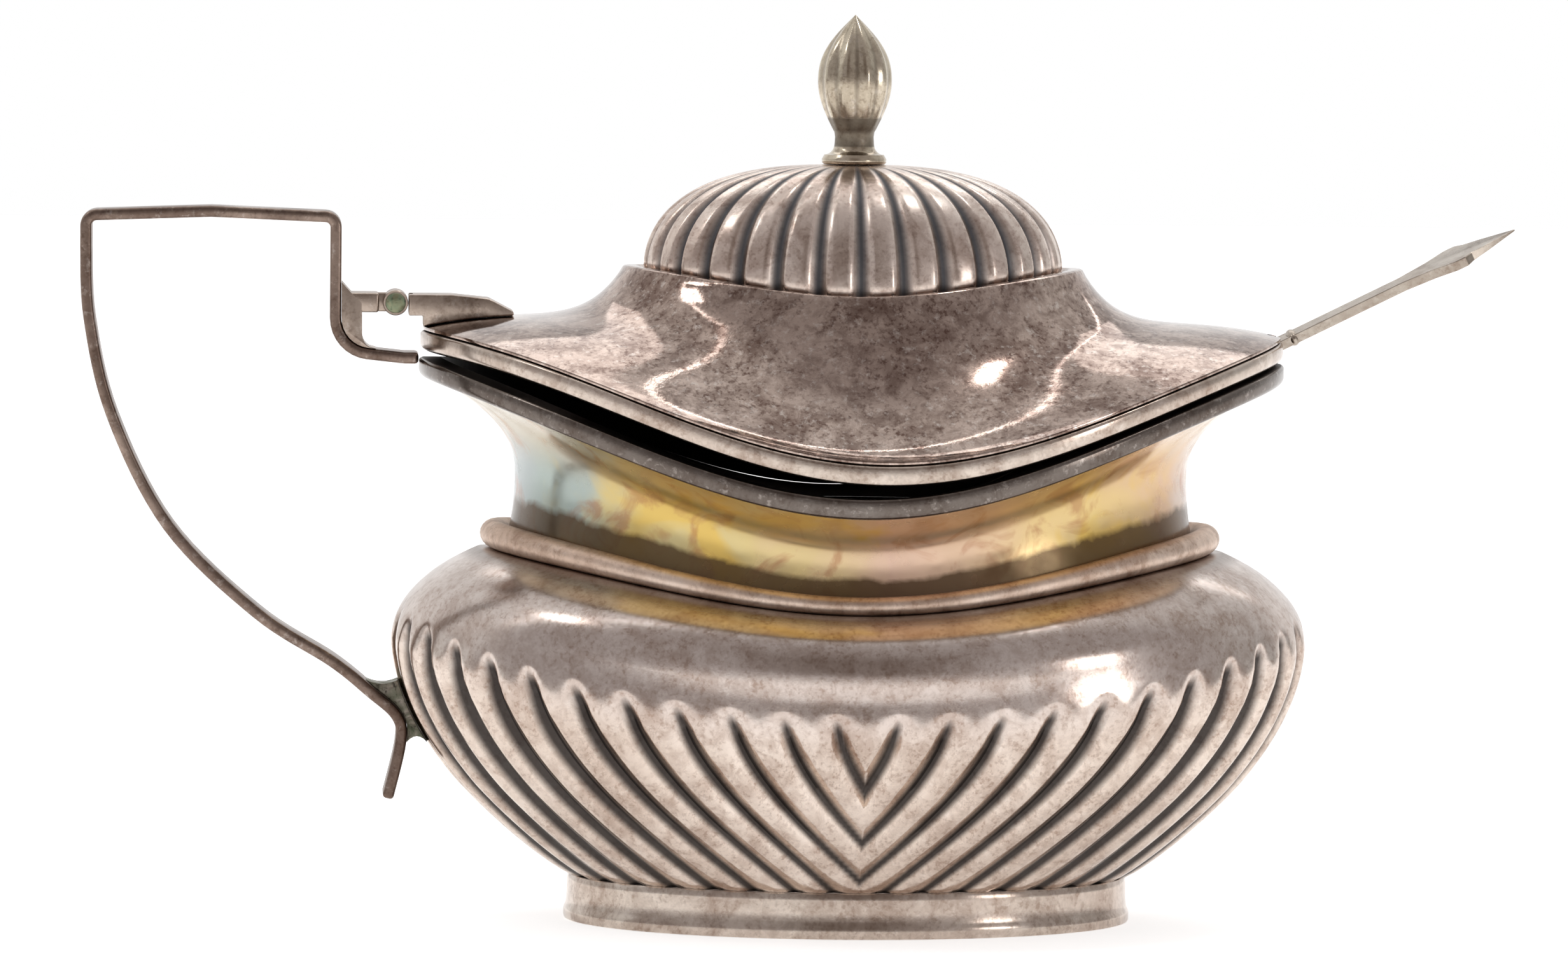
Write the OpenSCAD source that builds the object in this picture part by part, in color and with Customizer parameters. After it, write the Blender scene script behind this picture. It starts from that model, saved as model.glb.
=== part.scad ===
// Oval silver mustard pot: a reeded, boat-shaped bowl on a foot, a waisted neck, a hinged lid
// with a reeded dome and a bud finial, a strap handle, a glass liner and a spoon.
// Millimetres and degrees. +Z is up, +X runs along the oval from the handle to the spoon, the
// front faces -Y, and the origin is the middle of the foot on the table.
// Level lines run round the pot and dip at the front and back like the gunwale of a boat. A
// level is named by its height at the two ends of the oval.

/* [Body] */
// Width of the oval as a share of its length
oval_ratio = 0.72; // [0.65:0.01:0.8]
// Share of its height over the foot that the neck's lip dips at the front and back
boat_sag = 0.245; // [0.2:0.005:0.28]
// How fast the dip of the level lines grows with their height
boat_growth = 2.2; // [1.6:0.1:2.6]
// Half-length of the foot
foot_half = 23.8; // [21:0.2:26]
// Height of the foot
foot_h = 3.8; // [3:0.1:6]
// Thickness of the foot's wall
foot_wall = 1.8; // [1.4:0.1:3]
// Half-length of the bowl at its widest line, in the grooves
belly_half = 37.5; // [35.5:0.1:40]
// Height of the widest line over the foot
belly_rise = 20.4; // [18:0.2:23]
// How far the shoulder stands out past the waist of the neck
shoulder_w = 3.2; // [2.8:0.1:4]
// Height of the shoulder over the widest line
shoulder_rise = 6.9; // [6.2:0.1:9]
// Thickness of the bowl's floor
floor_t = 1.0; // [0.8:0.1:2]
// Thickness of the silver sheet
sheet = 0.9; // [0.7:0.1:1.1]

/* [Reeds] */
// Whole reeds between the heart and each end of the oval
reeds = 11; // [8:1:14]
// Height of a reed over its grooves
reed_h = 1.0; // [0.5:0.1:1.4]
// Half-width of the heart, in reeds
heart_half = 0.62; // [0.5:0.01:0.9]
// Reeds on each side that run out on the middle line below the heart
heart_reeds = 2.2; // [1:0.1:3]
// How late the reeds next to the heart sweep towards the middle line
reed_sweep = 1.85; // [1.6:0.05:2.6]
// Reeds' widths that the outer reeds sweep towards the middle line on their way down
reed_swing = 3.7; // [3:0.05:4.2]
// Depth of the reeds' tops under the widest line, at the front
reed_under_front = 3.2; // [2:0.1:4]
// Height of the reeds' tops over the widest line, at the ends
reed_over_end = 2.5; // [1.6:0.1:3.6]
// Length of a reed's rounded top
reed_round = 1.6; // [1:0.1:3]
// Share of a reed's height that is left at the foot
reed_foot = 0.45; // [0.2:0.05:0.8]

/* [Neck and rim] */
// Half-length of the neck at its waist
neck_half = 28.2; // [27:0.2:30]
// How far the neck spreads from its waist to the shoulder
neck_spread = 0.8; // [0.3:0.1:1.2]
// Height of the waist over the shoulder
neck_low = 6.4; // [5.4:0.1:8]
// Height of the rim wire over the waist
neck_high = 7.8; // [6.4:0.1:10]
// Radius of the bead wire round the neck's foot
bead_r = 1.15; // [0.9:0.05:1.4]
// Half-length of the rim
rim_half = 36.3; // [35:0.1:38]
// Width of the rim wire
rim_w = 1.9; // [1.5:0.1:2.4]
// Height of the rim wire
rim_h = 1.65; // [1.3:0.05:2.2]
// Rounding of the rim wires' outer lower edges
rim_round = 0.7; // [0.3:0.05:0.9]

/* [Lid] */
// Gap between the closed lid and the rim at the spoon's end
lid_gap = 0.25; // [0.2:0.05:0.4]
// How much further the worn lid stands off the rim on the hinge's side
lid_wave = 0.8; // [0.2:0.05:1]
// Height of the lid's rim wire
lid_rim_h = 1.65; // [1.3:0.05:2]
// Thickness of the lid sheet's turned edge
lid_edge = 0.35; // [0.2:0.05:0.6]
// Height of the collar over the rim
collar_rise = 7.9; // [7.2:0.1:10]
// Half-length of the collar round the dome
collar_half = 19.2; // [17:0.2:21]
// How far the collar dips at the front and back
collar_dip = 2.0; // [1:0.1:3]
// Width of the collar
collar_w = 1.6; // [1.3:0.1:2.4]
// Height of the collar over the dome's seat
collar_lip = 0.6; // [0.3:0.1:1.2]
// Height of the dome
dome_h = 9.1; // [7:0.1:12]
// Reeds round the dome
dome_reeds = 30; // [20:2:36]
// Depth of the dome's grooves
dome_groove = 0.7; // [0.3:0.05:0.9]

/* [Finial] */
// Height of the finial over the dome
finial_h = 12.5; // [10:0.1:16]
// Radius of the finial's foot
finial_foot_r = 2.7; // [2.4:0.1:3.4]
// Radius of the finial's stem
finial_stem_r = 1.8; // [1.5:0.1:2.2]
// Radius of the bud
bud_r = 3.1; // [2.6:0.05:4]
// Lobes round the bud
bud_lobes = 10; // [8:1:20]
// Radius of the stud through the dome
stud_r = 1.0; // [0.8:0.05:1.3]
// Radius of the nut under the dome, across its corners
nut_r = 2.2; // [1.8:0.1:3]
// Height of the nut
nut_h = 1.4; // [1:0.1:2]

/* [Hinge] */
// Distance of the pin from the rim's end
hinge_out = 2.0; // [1.8:0.1:3]
// Height of the pin over the rim
hinge_up = 4.6; // [4.4:0.1:6]
// Width of the hinge
hinge_w = 5.0; // [4:0.1:7]
// Width of the middle knuckle
knuckle_w = 1.9; // [1.4:0.1:2.4]
// Radius of the knuckles
knuckle_r = 1.05; // [1:0.05:1.2]
// Radius of the pin
pin_r = 0.6; // [0.4:0.05:0.7]
// Radius of the pin's riveted heads
pin_head_r = 0.85; // [0.8:0.05:1]
// Running clearance of the lid's knuckles round the pin and beside the middle knuckle
hinge_fit = 0.05; // [0.03:0.01:0.1]
// Thickness of the lug between the handle and the pin
lug_t = 1.6; // [1.2:0.1:1.8]
// Height of the leaf's top over the pin
leaf_over = 0.7; // [0.5:0.05:0.9]
// Length of the leaf's level part beyond the pin
leaf_level = 4.7; // [3.6:0.1:6]

/* [Handle] */
// Thickness of the handle's strap
strap_t = 0.95; // [0.8:0.05:1.4]
// Width of the handle's strap
strap_w = 5.0; // [4:0.1:7]
// Distance of the handle's upright from the rim
upright_out = 7.0; // [6.6:0.1:9]
// Height of the handle's top bar over the rim
handle_over = 11.7; // [10:0.1:16]
// Length of the top bar
handle_len = 20.8; // [17:0.1:26]
// Height over the foot at which the strap meets the bowl
handle_low = 13.2; // [12.2:0.1:15.5]
// Thickness of the solder between the strap and the bowl
solder_t = 0.8; // [0.6:0.05:1.2]
// Width of the solder pad
solder_w = 3.0; // [2:0.1:4]

/* [Liner] */
// Gap between the liner's lip and the neck
liner_gap = 0.7; // [0.4:0.1:1.5]
// Gap between the liner's base and the edge of the foot
liner_base_gap = 2.2; // [1.6:0.1:4]
// Height of the liner
liner_h = 29.6; // [24:0.2:31]
// Thickness of the glass
glass_t = 2.2; // [1.6:0.1:3]

/* [Spoon] */
// Slope of the spoon's stem
spoon_tilt = 26.3; // [24:0.1:28]
// Turn of the spoon about its own stem
spoon_roll = 9; // [0:0.5:12]
// Width of the stem
stem_w = 2.0; // [1.6:0.1:2.6]
// Thickness of the stem
stem_t = 0.8; // [0.6:0.05:1.2]
// Length of the spoon outside the rim
spoon_out = 24.3; // [20:0.1:30]
// Width of the spoon's shouldered end
spoon_end_w = 5.2; // [4:0.1:7]
// Length of the spoon's bowl
scoop_l = 19; // [15:0.5:22]
// Width of the spoon's bowl
scoop_w = 13; // [10:0.5:14]
// Depth of the spoon's bowl
scoop_d = 4; // [3:0.1:5]
// Room beside and above the stem in the lid's notch
notch_room = 0.7; // [0.5:0.05:1]
// Clearance of the spoon from the rim and from the liner
spoon_rest = 0.25; // [0.2:0.05:0.4]

/* [Hidden] */
$fn = 64;
fine_fn = 192;

// Gap left for solder between pieces that are joined
seam = 0.05;

// Levels of the body, each a height at the ends of the oval
bowl_base = foot_h + seam;
floor_z = bowl_base + floor_t;
belly_z = foot_h + belly_rise;
shoulder_z = belly_z + shoulder_rise;
waist_z = shoulder_z + neck_low;
lip_z = waist_z + neck_high;
rim_z = lip_z + seam + rim_h;
bead_z = shoulder_z + seam + bead_r;

// Half-lengths that follow from the driving ones
foot_inset = 0.6;
foot_step = 0.2;
foot_band = 0.4;
foot_trim = 1;
bowl_base_half = foot_half - foot_inset;
shoulder_half = neck_half + shoulder_w;
shoulder_turn = 2.6;
belly_fullness = 0.85;
rim_lap = 0.5;
rim_in = rim_half - rim_w;
lip_half = rim_in + rim_lap;
shelf_lap = 0.4;
shelf_half = neck_half + neck_spread - sheet - shelf_lap;

// Columns of the reeded rings, four to a reed, and of the plain rings
heart_cols = 2;
cols_per_reed = 4;
quarter_cols = heart_cols + cols_per_reed * reeds + 2;
plain_n = 4 * quarter_cols / cols_per_reed;
reed_rows = 11;
row_crowding = 1.6;
reed_settle = 7;
reed_back = 0.5;
reed_top_rise = 2.5;
reed_foot_l = 8;
reed_span = heart_half + reeds + 0.5;

// Lid
lid_inset = 0.1;
lid_half = rim_half - lid_inset;
lid_edge_half = lid_half - 0.2;
collar_z = rim_z + collar_rise;
seat_z = collar_z - collar_lip;
skirt_steps = [0, 0.15, 0.3, 0.45, 0.65, 0.82, 0.94, 1];
skirt_front_power = 1.5;
skirt_end_power = 6;
skirt_end_swell = 0.7;
dome_half = collar_half - collar_w;
dome_base_z = seat_z + seam;
dome_cap_half = 3.2;
dome_side_power = 2.8;
dome_top_power = 2.2;
dome_steps = [0, 0.25, 0.55, 0.8, 0.93];
dome_cols = 4;
dome_cap_z = dome_base_z + dome_rise_at(dome_cap_half);

// Finial
finial_z = dome_cap_z + seam;
finial_stem_h = 2.9;
bud_fattest = 0.42;
bud_groove = 0.08;
bud_cols = 4;
bud_steps = [0.02, 0.2, 0.42, 0.6, 0.78, 0.92];
bud_h = finial_h - finial_stem_h;
nut_z = dome_cap_z - sheet - seam - nut_h;
stud_end = 0.4;

// Hinge
pin_x = -(rim_half + hinge_out);
pin_z = rim_z + hinge_up;
outer_knuckle_w = (hinge_w - knuckle_w) / 2 - 2 * hinge_fit;
pin_head_t = 0.4;
knuckle_room = 0.35;
leaf_steps = 4;
leaf_tip_t = 0.3;
web_w = 2.2;
web_foot = 3.4;
web_up = 1.7;

// Handle
upright_x = -(rim_half + upright_out);
bar_z = rim_z + handle_over;
bar_arch = 0.4;
corner_x = upright_x - handle_len;
bend_r = 3.0;
corner_r = 0.9;
corner_steps = 6;
sweep_steps = 5;
strap_level = 1.2;
bend_up = 0.6;
strap_start = [-(rim_half + seam), rim_z];
strap_level_end = strap_start - [strap_level, 0];
strap_bend = [upright_x, rim_z + bend_up];
touch_z = foot_h + handle_low;
touch_x = -(end_half(touch_z) + solder_t + strap_t / 2);
// The handle's sweep from its outer corner [0, 0] towards the place [1, 1] where it touches the bowl
sweep = [[0, 0.062], [0.012, 0.206], [0.086, 0.4], [0.267, 0.621], [0.55, 0.794]];
// Its landing: each point's share of the drop, and its distance from the bowl in solder thicknesses
landing = [[0.89, 5.83], [0.951, 2.72], [1, 1]];
// Its tail, from the place where it touches the bowl
tail = [[0.33, -2.2], [-0.73, -6.9]];
sweep_n = len(sweep) + len(landing) + len(tail);
pad_first = len(sweep) * sweep_steps + 4;
pad_last = (len(sweep) + len(landing)) * sweep_steps;
pad_hollow_over = 0.12;
pad_hollow_under = 0.3;

// Liner
liner_z = floor_z + seam;
liner_half = neck_half - sheet - liner_gap;
liner_base_half = foot_half - liner_base_gap;
liner_floor = 2.6;
lip_round = 0.6;

// Spoon, measured along its stem from the rim's inner edge
stem_half_h = stem_t / 2 * cos(spoon_roll) + stem_w / 2 * sin(spoon_roll);
stem_up = spoon_rest + stem_half_h;
spoon_x = rim_in - stem_up * sin(spoon_tilt);
spoon_z = rim_z + stem_up * cos(spoon_tilt);
liner_slope = (liner_half - liner_base_half) / liner_h;
liner_in = liner_base_half - glass_t;
spoon_reach = (spoon_x + liner_in + liner_slope * (spoon_z - liner_z))
    / (cos(spoon_tilt) + liner_slope * sin(spoon_tilt));
spoon_in = spoon_reach - 2.5 * spoon_rest;
scoop_n = 28;
scoop_wall = 0.8;
scoop_lap = 1.2;
spoon_root_w = 1.8;
shoulder_back = 6.2;
shoulder_l = 1.1;
neck_back = 1.4;

// Plan of the oval: t counts quarters from the front middle to the right
plan_skew = (1 - oval_ratio) / (2 * (1 + oval_ratio)) * 180 / PI;
function plan_angle(t) = 90 * t - plan_skew * sin(180 * t);
function plan_point(t, half, out, z) =
    let (angle = plan_angle(t))
    [(half + out) * sin(angle), -(oval_ratio * half + out) * cos(angle), z];

// 0 at the front and back middle, 1 at the ends; u is the share of the half-length
function boat(u) = (u * u + pow(sin(90 * u), 2)) / 2;
function lift(level, u) =
    let (high = lip_z - bowl_base)
    level - boat_sag * high * pow(max(0, level - bowl_base) / high, boat_growth) * (1 - boat(u));
function rim_top(u) = lift(lip_z, u) + seam + rim_h;

// A plain oval ring whose height is a function of u
function ring(half, height, n = plain_n) = [
    for (i = [0:n - 1])
        let (t = 4 * i / n)
        plan_point(t, half, 0, height(sin(plan_angle(t))))
];
function level_ring(half, level) = ring(half, function(u) lift(level, u));
function flat_ring(half, z, n = plain_n) = ring(half, function(u) z, n);

// Triangles between two rings of equal size, or of sizes that are multiples of each other
function band(p, np, q, nq) =
    np == nq ? [
        for (i = [0:np - 1])
            let (j = (i + 1) % np)
            each [[p + i, q + i, q + j], [p + i, q + j, p + j]]
    ] : np > nq ? [
        for (i = [0:nq - 1])
            let (k = np / nq, m = floor(k / 2), j = (i + 1) % nq)
            each concat(
                [for (s = [0:k - 1]) [p + i * k + s, q + (s < m ? i : j), p + (i * k + s + 1) % np]],
                [[p + i * k + m, q + i, q + j]])
    ] : [
        for (i = [0:np - 1])
            let (k = nq / np, m = floor(k / 2), j = (i + 1) % np)
            each concat(
                [for (s = [0:k - 1]) [p + (s < m ? i : j), q + i * k + s, q + (i * k + s + 1) % nq]],
                [[p + i, q + i * k + m, p + j]])
    ];

function middle(points) = [for (p = points) 1] * points / len(points);

// A skin over rings that run anticlockwise; it closes on itself, or with a fan at each end
module skin(rings, closed = false, tip = undef) {
    sizes = [for (r = rings) len(r)];
    starts = [for (i = 0, s = 0; i < len(rings); s = s + sizes[i], i = i + 1) s];
    last = len(rings) - 1;
    total = starts[last] + sizes[last];
    top = is_undef(tip) ? middle(rings[last]) : tip;
    bands = [
        for (i = [0:closed ? last : last - 1])
            let (j = (i + 1) % len(rings))
            each band(starts[i], sizes[i], starts[j], sizes[j])
    ];
    floor_fan = [for (i = [0:sizes[0] - 1]) [total, i, (i + 1) % sizes[0]]];
    top_fan = [
        for (i = [0:sizes[last] - 1])
            [total + 1, starts[last] + (i + 1) % sizes[last], starts[last] + i]
    ];
    points = [for (r = rings) each r];
    polyhedron(
        points = closed ? points : concat(points, [middle(rings[0]), top]),
        faces = closed ? bands : concat(bands, floor_fan, top_fan));
}

// Half-length of the bowl between its grooves at a level
function bowl_half(z) =
    z <= belly_z
    ? bowl_base_half + (belly_half - bowl_base_half)
        * pow(sin(90 * max(0, z - bowl_base) / (belly_z - bowl_base)), belly_fullness)
    : belly_half - (belly_half - shoulder_half) * pow((z - belly_z) / shoulder_rise, shoulder_turn);

// Reeds: a place is counted in reeds from the middle of the heart. Further down the bowl every
// reed slides towards the middle line, where the nearest ones run out. The outer reeds start
// upright and swing over.
function reed_mark(k) =
    k <= heart_cols ? heart_half * k / heart_cols : heart_half + (k - heart_cols) / cols_per_reed;
function smooth(x) = let (s = max(0, min(1, x))) s * s * (3 - 2 * s);
function reed_run(down) = (heart_half + heart_reeds) * pow(down, reed_sweep);
function reed_swung(down) = reed_swing * down * down * (1.7 - 0.7 * down) - reed_back;
function reed_slide(mark, down) =
    reed_run(down) + (reed_swung(down) - reed_run(down)) * smooth(mark / reed_settle);
function reed_reach(mark, down) = max(mark - reed_slide(mark, down), mark / (1 + reed_run(down)));
function reed_at(reach, down) =
    reach + reed_slide(reach + reed_slide(reach + reed_run(down), down), down);
function crest(g) = g < 0 ? 0.5 - 0.5 * cos(180 * g / heart_half) : 0.5 - 0.5 * cos(360 * g);
function reed_top(u) =
    belly_z - reed_under_front + (reed_over_end + reed_under_front) * pow(abs(u), reed_top_rise);
function round_off(x) = x >= 1 ? 1 : sqrt(1 - pow(1 - x, 2));
function reed_rise(z, top) =
    reed_h * round_off(max(0, top - z) / reed_round)
    * min(1, reed_foot + (1 - reed_foot) * (z - bowl_base) / reed_foot_l);
function end_half(z) = bowl_half(z) + reed_rise(z, reed_top(1));

function reed_point(i, down) =
    let (quarter = floor(i / quarter_cols),
         outward = quarter % 2 == 0,
         step = i % quarter_cols,
         reach = reed_reach(reed_mark(outward ? step : quarter_cols - step), down),
         place = reed_at(reach, down),
         share = reach / (reed_span - reed_slide(place, down)),
         t = quarter + (outward ? share : 1 - share),
         u = sin(plan_angle(t)),
         top = reed_top(u),
         z = top + (bowl_base - top) * down)
    plan_point(t, bowl_half(z), reed_rise(z, top) * crest(place - heart_half), lift(z, u));
function reed_ring(down) = [for (i = [0:4 * quarter_cols - 1]) reed_point(i, down)];

// Smooth shoulder between the reeds' tops and the bead; v runs from 0 to 1
function shoulder_ring(v) = [
    for (i = [0:plain_n - 1])
        let (t = 4 * i / plain_n,
             u = sin(plan_angle(t)),
             z = reed_top(u) + (shoulder_z - reed_top(u)) * v)
        plan_point(t, bowl_half(z), 0, lift(z, u))
];
function bowl_inner_ring(v) =
    let (z = floor_z + (shoulder_z - sheet - floor_z) * v)
    level_ring(bowl_half(z) - sheet, z);

// A straight oval tube whose foot is a little too long
module oval_tube(half, tall) {
    translate([0, 0, -foot_trim])
        linear_extrude(height = tall + foot_trim)
        difference() {
            scale([1, oval_ratio]) circle(r = half, $fn = fine_fn);
            scale([1, oval_ratio]) circle(r = foot_half - foot_wall, $fn = fine_fn);
        }
}

module foot_ring() {
    wide = 2 * foot_half + 2;
    color("silver")
    difference() {
        union() {
            oval_tube(foot_half, foot_h * foot_band);
            oval_tube(foot_half - foot_step, foot_h);
        }
        // Trimmed flat on the table
        translate([-wide / 2, -wide / 2, -2 * foot_trim]) cube([wide, wide, 2 * foot_trim]);
    }
}

module bowl() {
    color("silver")
    skin(concat(
        [for (r = [0:reed_rows]) reed_ring(pow(1 - r / reed_rows, row_crowding))],
        [for (v = [1 / 3, 2 / 3, 1]) shoulder_ring(v)],
        [level_ring(shelf_half, shoulder_z), level_ring(shelf_half, shoulder_z - sheet)],
        [for (v = [1, 0.75, 0.5, 0.25, 0.07]) bowl_inner_ring(v)],
        [flat_ring(bowl_half(floor_z) - sheet, floor_z)]));
}

// Half-length of the neck's outer face at a level
function neck_out(z) =
    z < waist_z
    ? neck_half + neck_spread * pow((waist_z - z) / neck_low, 2)
    : neck_half + (lip_half - neck_half) * pow((z - waist_z) / neck_high, 2.2);

module shoulder_bead() {
    half = neck_out(bead_z) + seam + bead_r;
    color("silver")
    skin([
        for (turn = [0:60:300])
            level_ring(half + bead_r * cos(turn), bead_z + bead_r * sin(turn))
    ], closed = true);
}

module neck_band() {
    foot_z = shoulder_z + seam;
    levels = [foot_z, (foot_z + waist_z) / 2, for (v = [0, 0.4, 0.72, 1]) waist_z + neck_high * v];
    color("goldenrod")
    skin(concat(
        [for (z = levels) level_ring(neck_out(z), z)],
        [for (i = [len(levels) - 1:-1:0]) level_ring(neck_out(levels[i]) - sheet, levels[i])]),
        closed = true);
}

// A flat wire round the rim with a rounded lower outer edge; heights start at its underside
module wire(half, height, tall) {
    outline = concat(
        [[half - rim_w, 0]],
        [for (turn = [-90:45:0]) [half - rim_round * (1 - cos(turn)), rim_round * (1 + sin(turn))]],
        [[half, tall], [half - rim_w, tall]]);
    skin([for (p = outline) ring(p.x, function(u) height(u) + p.y)], closed = true);
}

module rim_wire() {
    color("silver") wire(rim_half, function(u) rim_top(u) - rim_h, rim_h);
}

module glass_liner() {
    top = liner_z + liner_h;
    color("midnightblue")
    skin([
        flat_ring(liner_base_half, liner_z),
        flat_ring(liner_half, top - lip_round),
        flat_ring(liner_half - glass_t / 2, top),
        flat_ring(liner_half - glass_t, top - lip_round),
        flat_ring(liner_base_half - glass_t, liner_z + liner_floor),
    ]);
}

// Handle, drawn in the plane of the long axis
function unit(v) = v / norm(v);
function corner_arc(from, corner, to, r) =
    let (a = unit(from - corner),
         b = unit(to - corner),
         half = acos(a * b) / 2,
         centre = corner + unit(a + b) * r / sin(half),
         start = corner + a * r / tan(half) - centre,
         end = corner + b * r / tan(half) - centre,
         first = atan2(start.y, start.x),
         turn = (atan2(end.y, end.x) - first + 540) % 360 - 180)
    [for (i = [0:corner_steps]) centre + r * [cos(first + turn * i / corner_steps),
                                              sin(first + turn * i / corner_steps)]];
function spline(a, b, c, d, t) =
    (2 * b + (c - a) * t + (2 * a - 5 * b + 4 * c - d) * t * t + (3 * b - a - 3 * c + d) * t * t * t) / 2;
function landing_point(s) =
    let (z = bar_z + (touch_z - bar_z) * s[0])
    [-(end_half(z) + solder_t * s[1] + strap_t / 2), z];
function sweep_share(s) = [corner_x + (touch_x - corner_x) * s[0], bar_z + (touch_z - bar_z) * s[1]];
sweep_points = concat(
    [for (s = sweep) sweep_share(s)],
    [for (s = landing) landing_point(s)],
    [for (s = tail) [touch_x + s[0], touch_z + s[1]]]);
function sweep_point(i) = sweep_points[max(0, min(sweep_n - 1, i))];
function strap_sweep() = [
    for (i = [0:sweep_n - 2], k = [0:sweep_steps - 1])
        spline(sweep_point(i - 1), sweep_point(i), sweep_point(i + 1), sweep_point(i + 2), k / sweep_steps)
];
function strap_path() =
    let (inner = [upright_x, bar_z],
         arch = [(upright_x + corner_x) / 2, bar_z + bar_arch],
         outer = [corner_x, bar_z])
    concat(
        [strap_start, strap_level_end],
        corner_arc(strap_level_end, strap_bend, inner, bend_r),
        corner_arc(strap_bend, inner, arch, corner_r),
        [arch],
        corner_arc(arch, outer, sweep_point(0), corner_r),
        strap_sweep(),
        [sweep_point(sweep_n - 1)]);
function path_side(path, off) = [
    for (i = [0:len(path) - 1])
        let (along = unit(path[min(i + 1, len(path) - 1)] - path[max(i - 1, 0)]))
        path[i] + off * [-along.y, along.x]
];
function backwards(list) = [for (i = [len(list) - 1:-1:0]) list[i]];

module upright_plate(wide) {
    rotate([90, 0, 0]) linear_extrude(height = wide, center = true) children();
}

// The strap's rounded tail, a half circle past the end of its path
function tail_arc(path) =
    let (last = len(path) - 1,
         along = unit(path[last] - path[last - 1]),
         across = [-along.y, along.x])
    [for (turn = [60:-30:-60]) path[last] + strap_t / 2 * (along * cos(turn) + across * sin(turn))];

module handle_strap() {
    path = strap_path();
    color("dimgray")
    upright_plate(strap_w)
        polygon(concat(
            path_side(path, strap_t / 2),
            tail_arc(path),
            backwards(path_side(path, -strap_t / 2))));
}

// The solder's hollow upper and lower edges
function pad_edge(from, to, hollow) = [
    for (s = [0.25, 0.5, 0.75]) from + (to - from) * s + [0, 4 * hollow * s * (1 - s) * norm(to - from)]
];

module handle_pad() {
    inner = path_side(strap_sweep(), strap_t / 2 + seam);
    face = [for (i = [pad_first:pad_last]) inner[i]];
    back = [for (p = backwards(face)) [-(end_half(p.y) + seam), p.y]];
    last = len(face) - 1;
    color("darkolivegreen")
    upright_plate(solder_w)
        polygon(concat(
            face,
            pad_edge(face[last], back[0], pad_hollow_under),
            back,
            pad_edge(back[last], face[0], -pad_hollow_over)));
}

// Hinge: a round bar or bore along the pin, from its middle
module along_pin(r, wide) {
    translate([pin_x, 0, pin_z]) rotate([90, 0, 0]) cylinder(r = r, h = wide, center = true);
}

// The web in the corner of the strap: its outline runs down the strap and back up to the lug
function web_outline() =
    let (foot = strap_bend + unit(strap_level_end - strap_bend) * web_foot,
         seat = path_side(concat(
             [foot],
             corner_arc(strap_level_end, strap_bend, [upright_x, bar_z], bend_r),
             [[upright_x, pin_z + web_up]]), -strap_t / 2 - seam),
         centre = seat[0] + [0, web_foot - web_w])
    concat(
        seat,
        [[upright_x + web_w * 0.6, pin_z + lug_t / 2], [upright_x + web_w, pin_z]],
        [for (turn = [180:30:240]) centre + (web_foot - web_w) * [cos(turn), sin(turn)]]);

module hinge_lug() {
    start = upright_x + strap_t / 2 + seam;
    stop = pin_x - knuckle_r - knuckle_room;
    color("gray")
    difference() {
        union() {
            upright_plate(hinge_w) polygon(web_outline());
            translate([start, -hinge_w / 2, pin_z - lug_t / 2]) cube([stop - start, hinge_w, lug_t]);
            translate([start, -knuckle_w / 2, pin_z - lug_t / 2]) cube([pin_x - start, knuckle_w, lug_t]);
            along_pin(knuckle_r, knuckle_w);
        }
        along_pin(pin_r + seam / 2, 2 * hinge_w);
    }
}

module hinge_pin() {
    head_y = hinge_w / 2 + hinge_fit;
    color("darkseagreen")
    union() {
        along_pin(pin_r, 2 * head_y + pin_head_t);
        for (side = [-1, 1])
            translate([0, side * (head_y + pin_head_t / 2), 0]) along_pin(pin_head_r, pin_head_t);
    }
}

// Heights of the lid
function lid_stand(u) = lid_gap + lid_wave * pow(1 - u, 3) * (1.05 + u);
function lid_foot(u) = rim_top(u) + lid_stand(u);
function collar_at(u) = collar_z - collar_dip * (1 - boat(u));
function skirt_rise(f, u) =
    let (front = pow(f, skirt_front_power),
         end = pow(f, skirt_end_power) + skirt_end_swell * f * (1 - f))
    front + (end - front) * boat(u);
function skirt_half(f) = lid_edge_half + (collar_half - lid_edge_half) * f;
function skirt_z(f, u) =
    let (edge = lid_foot(u) + lid_rim_h + seam + lid_edge)
    edge + (collar_at(u) - edge) * skirt_rise(f, u);

// The lid's notch, in line with the stem and open downwards
module spoon_notch() {
    wide = stem_w + 2 * notch_room;
    tall = stem_up + stem_half_h + notch_room;
    below = rim_w + lid_rim_h;
    translate([rim_in, 0, rim_z])
        rotate([0, -spoon_tilt, 0])
        translate([-4 * rim_w, -wide / 2, -below])
        cube([8 * rim_w, wide, below + tall]);
}

module lid_rim_wire() {
    color("silver")
    difference() {
        wire(lid_half, function(u) lid_foot(u), lid_rim_h);
        spoon_notch();
    }
}

module lid_skirt() {
    turn = 0.7 * sheet;
    lip = 1.0;
    wire_top = function(u) lid_foot(u) + lid_rim_h + seam;
    color("rosybrown")
    difference() {
        skin(concat(
            [ring(lid_edge_half - rim_w + rim_lap, wire_top), ring(lid_edge_half, wire_top)],
            [for (f = skirt_steps) ring(skirt_half(f), function(u) skirt_z(f, u))],
            [ring(collar_half - lip, function(u) collar_at(u))],
            [ring(dome_half + seam * 4, function(u) collar_at(u) - collar_lip)],
            [for (down = [0, turn]) ring(dome_half - sheet - lip / 2, function(u) collar_at(u) - collar_lip - down)],
            [for (i = [len(skirt_steps) - 2:-1:1])
                ring(skirt_half(skirt_steps[i]) - turn, function(u) skirt_z(skirt_steps[i], u) - turn)]),
            closed = true);
        spoon_notch();
    }
}

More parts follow.
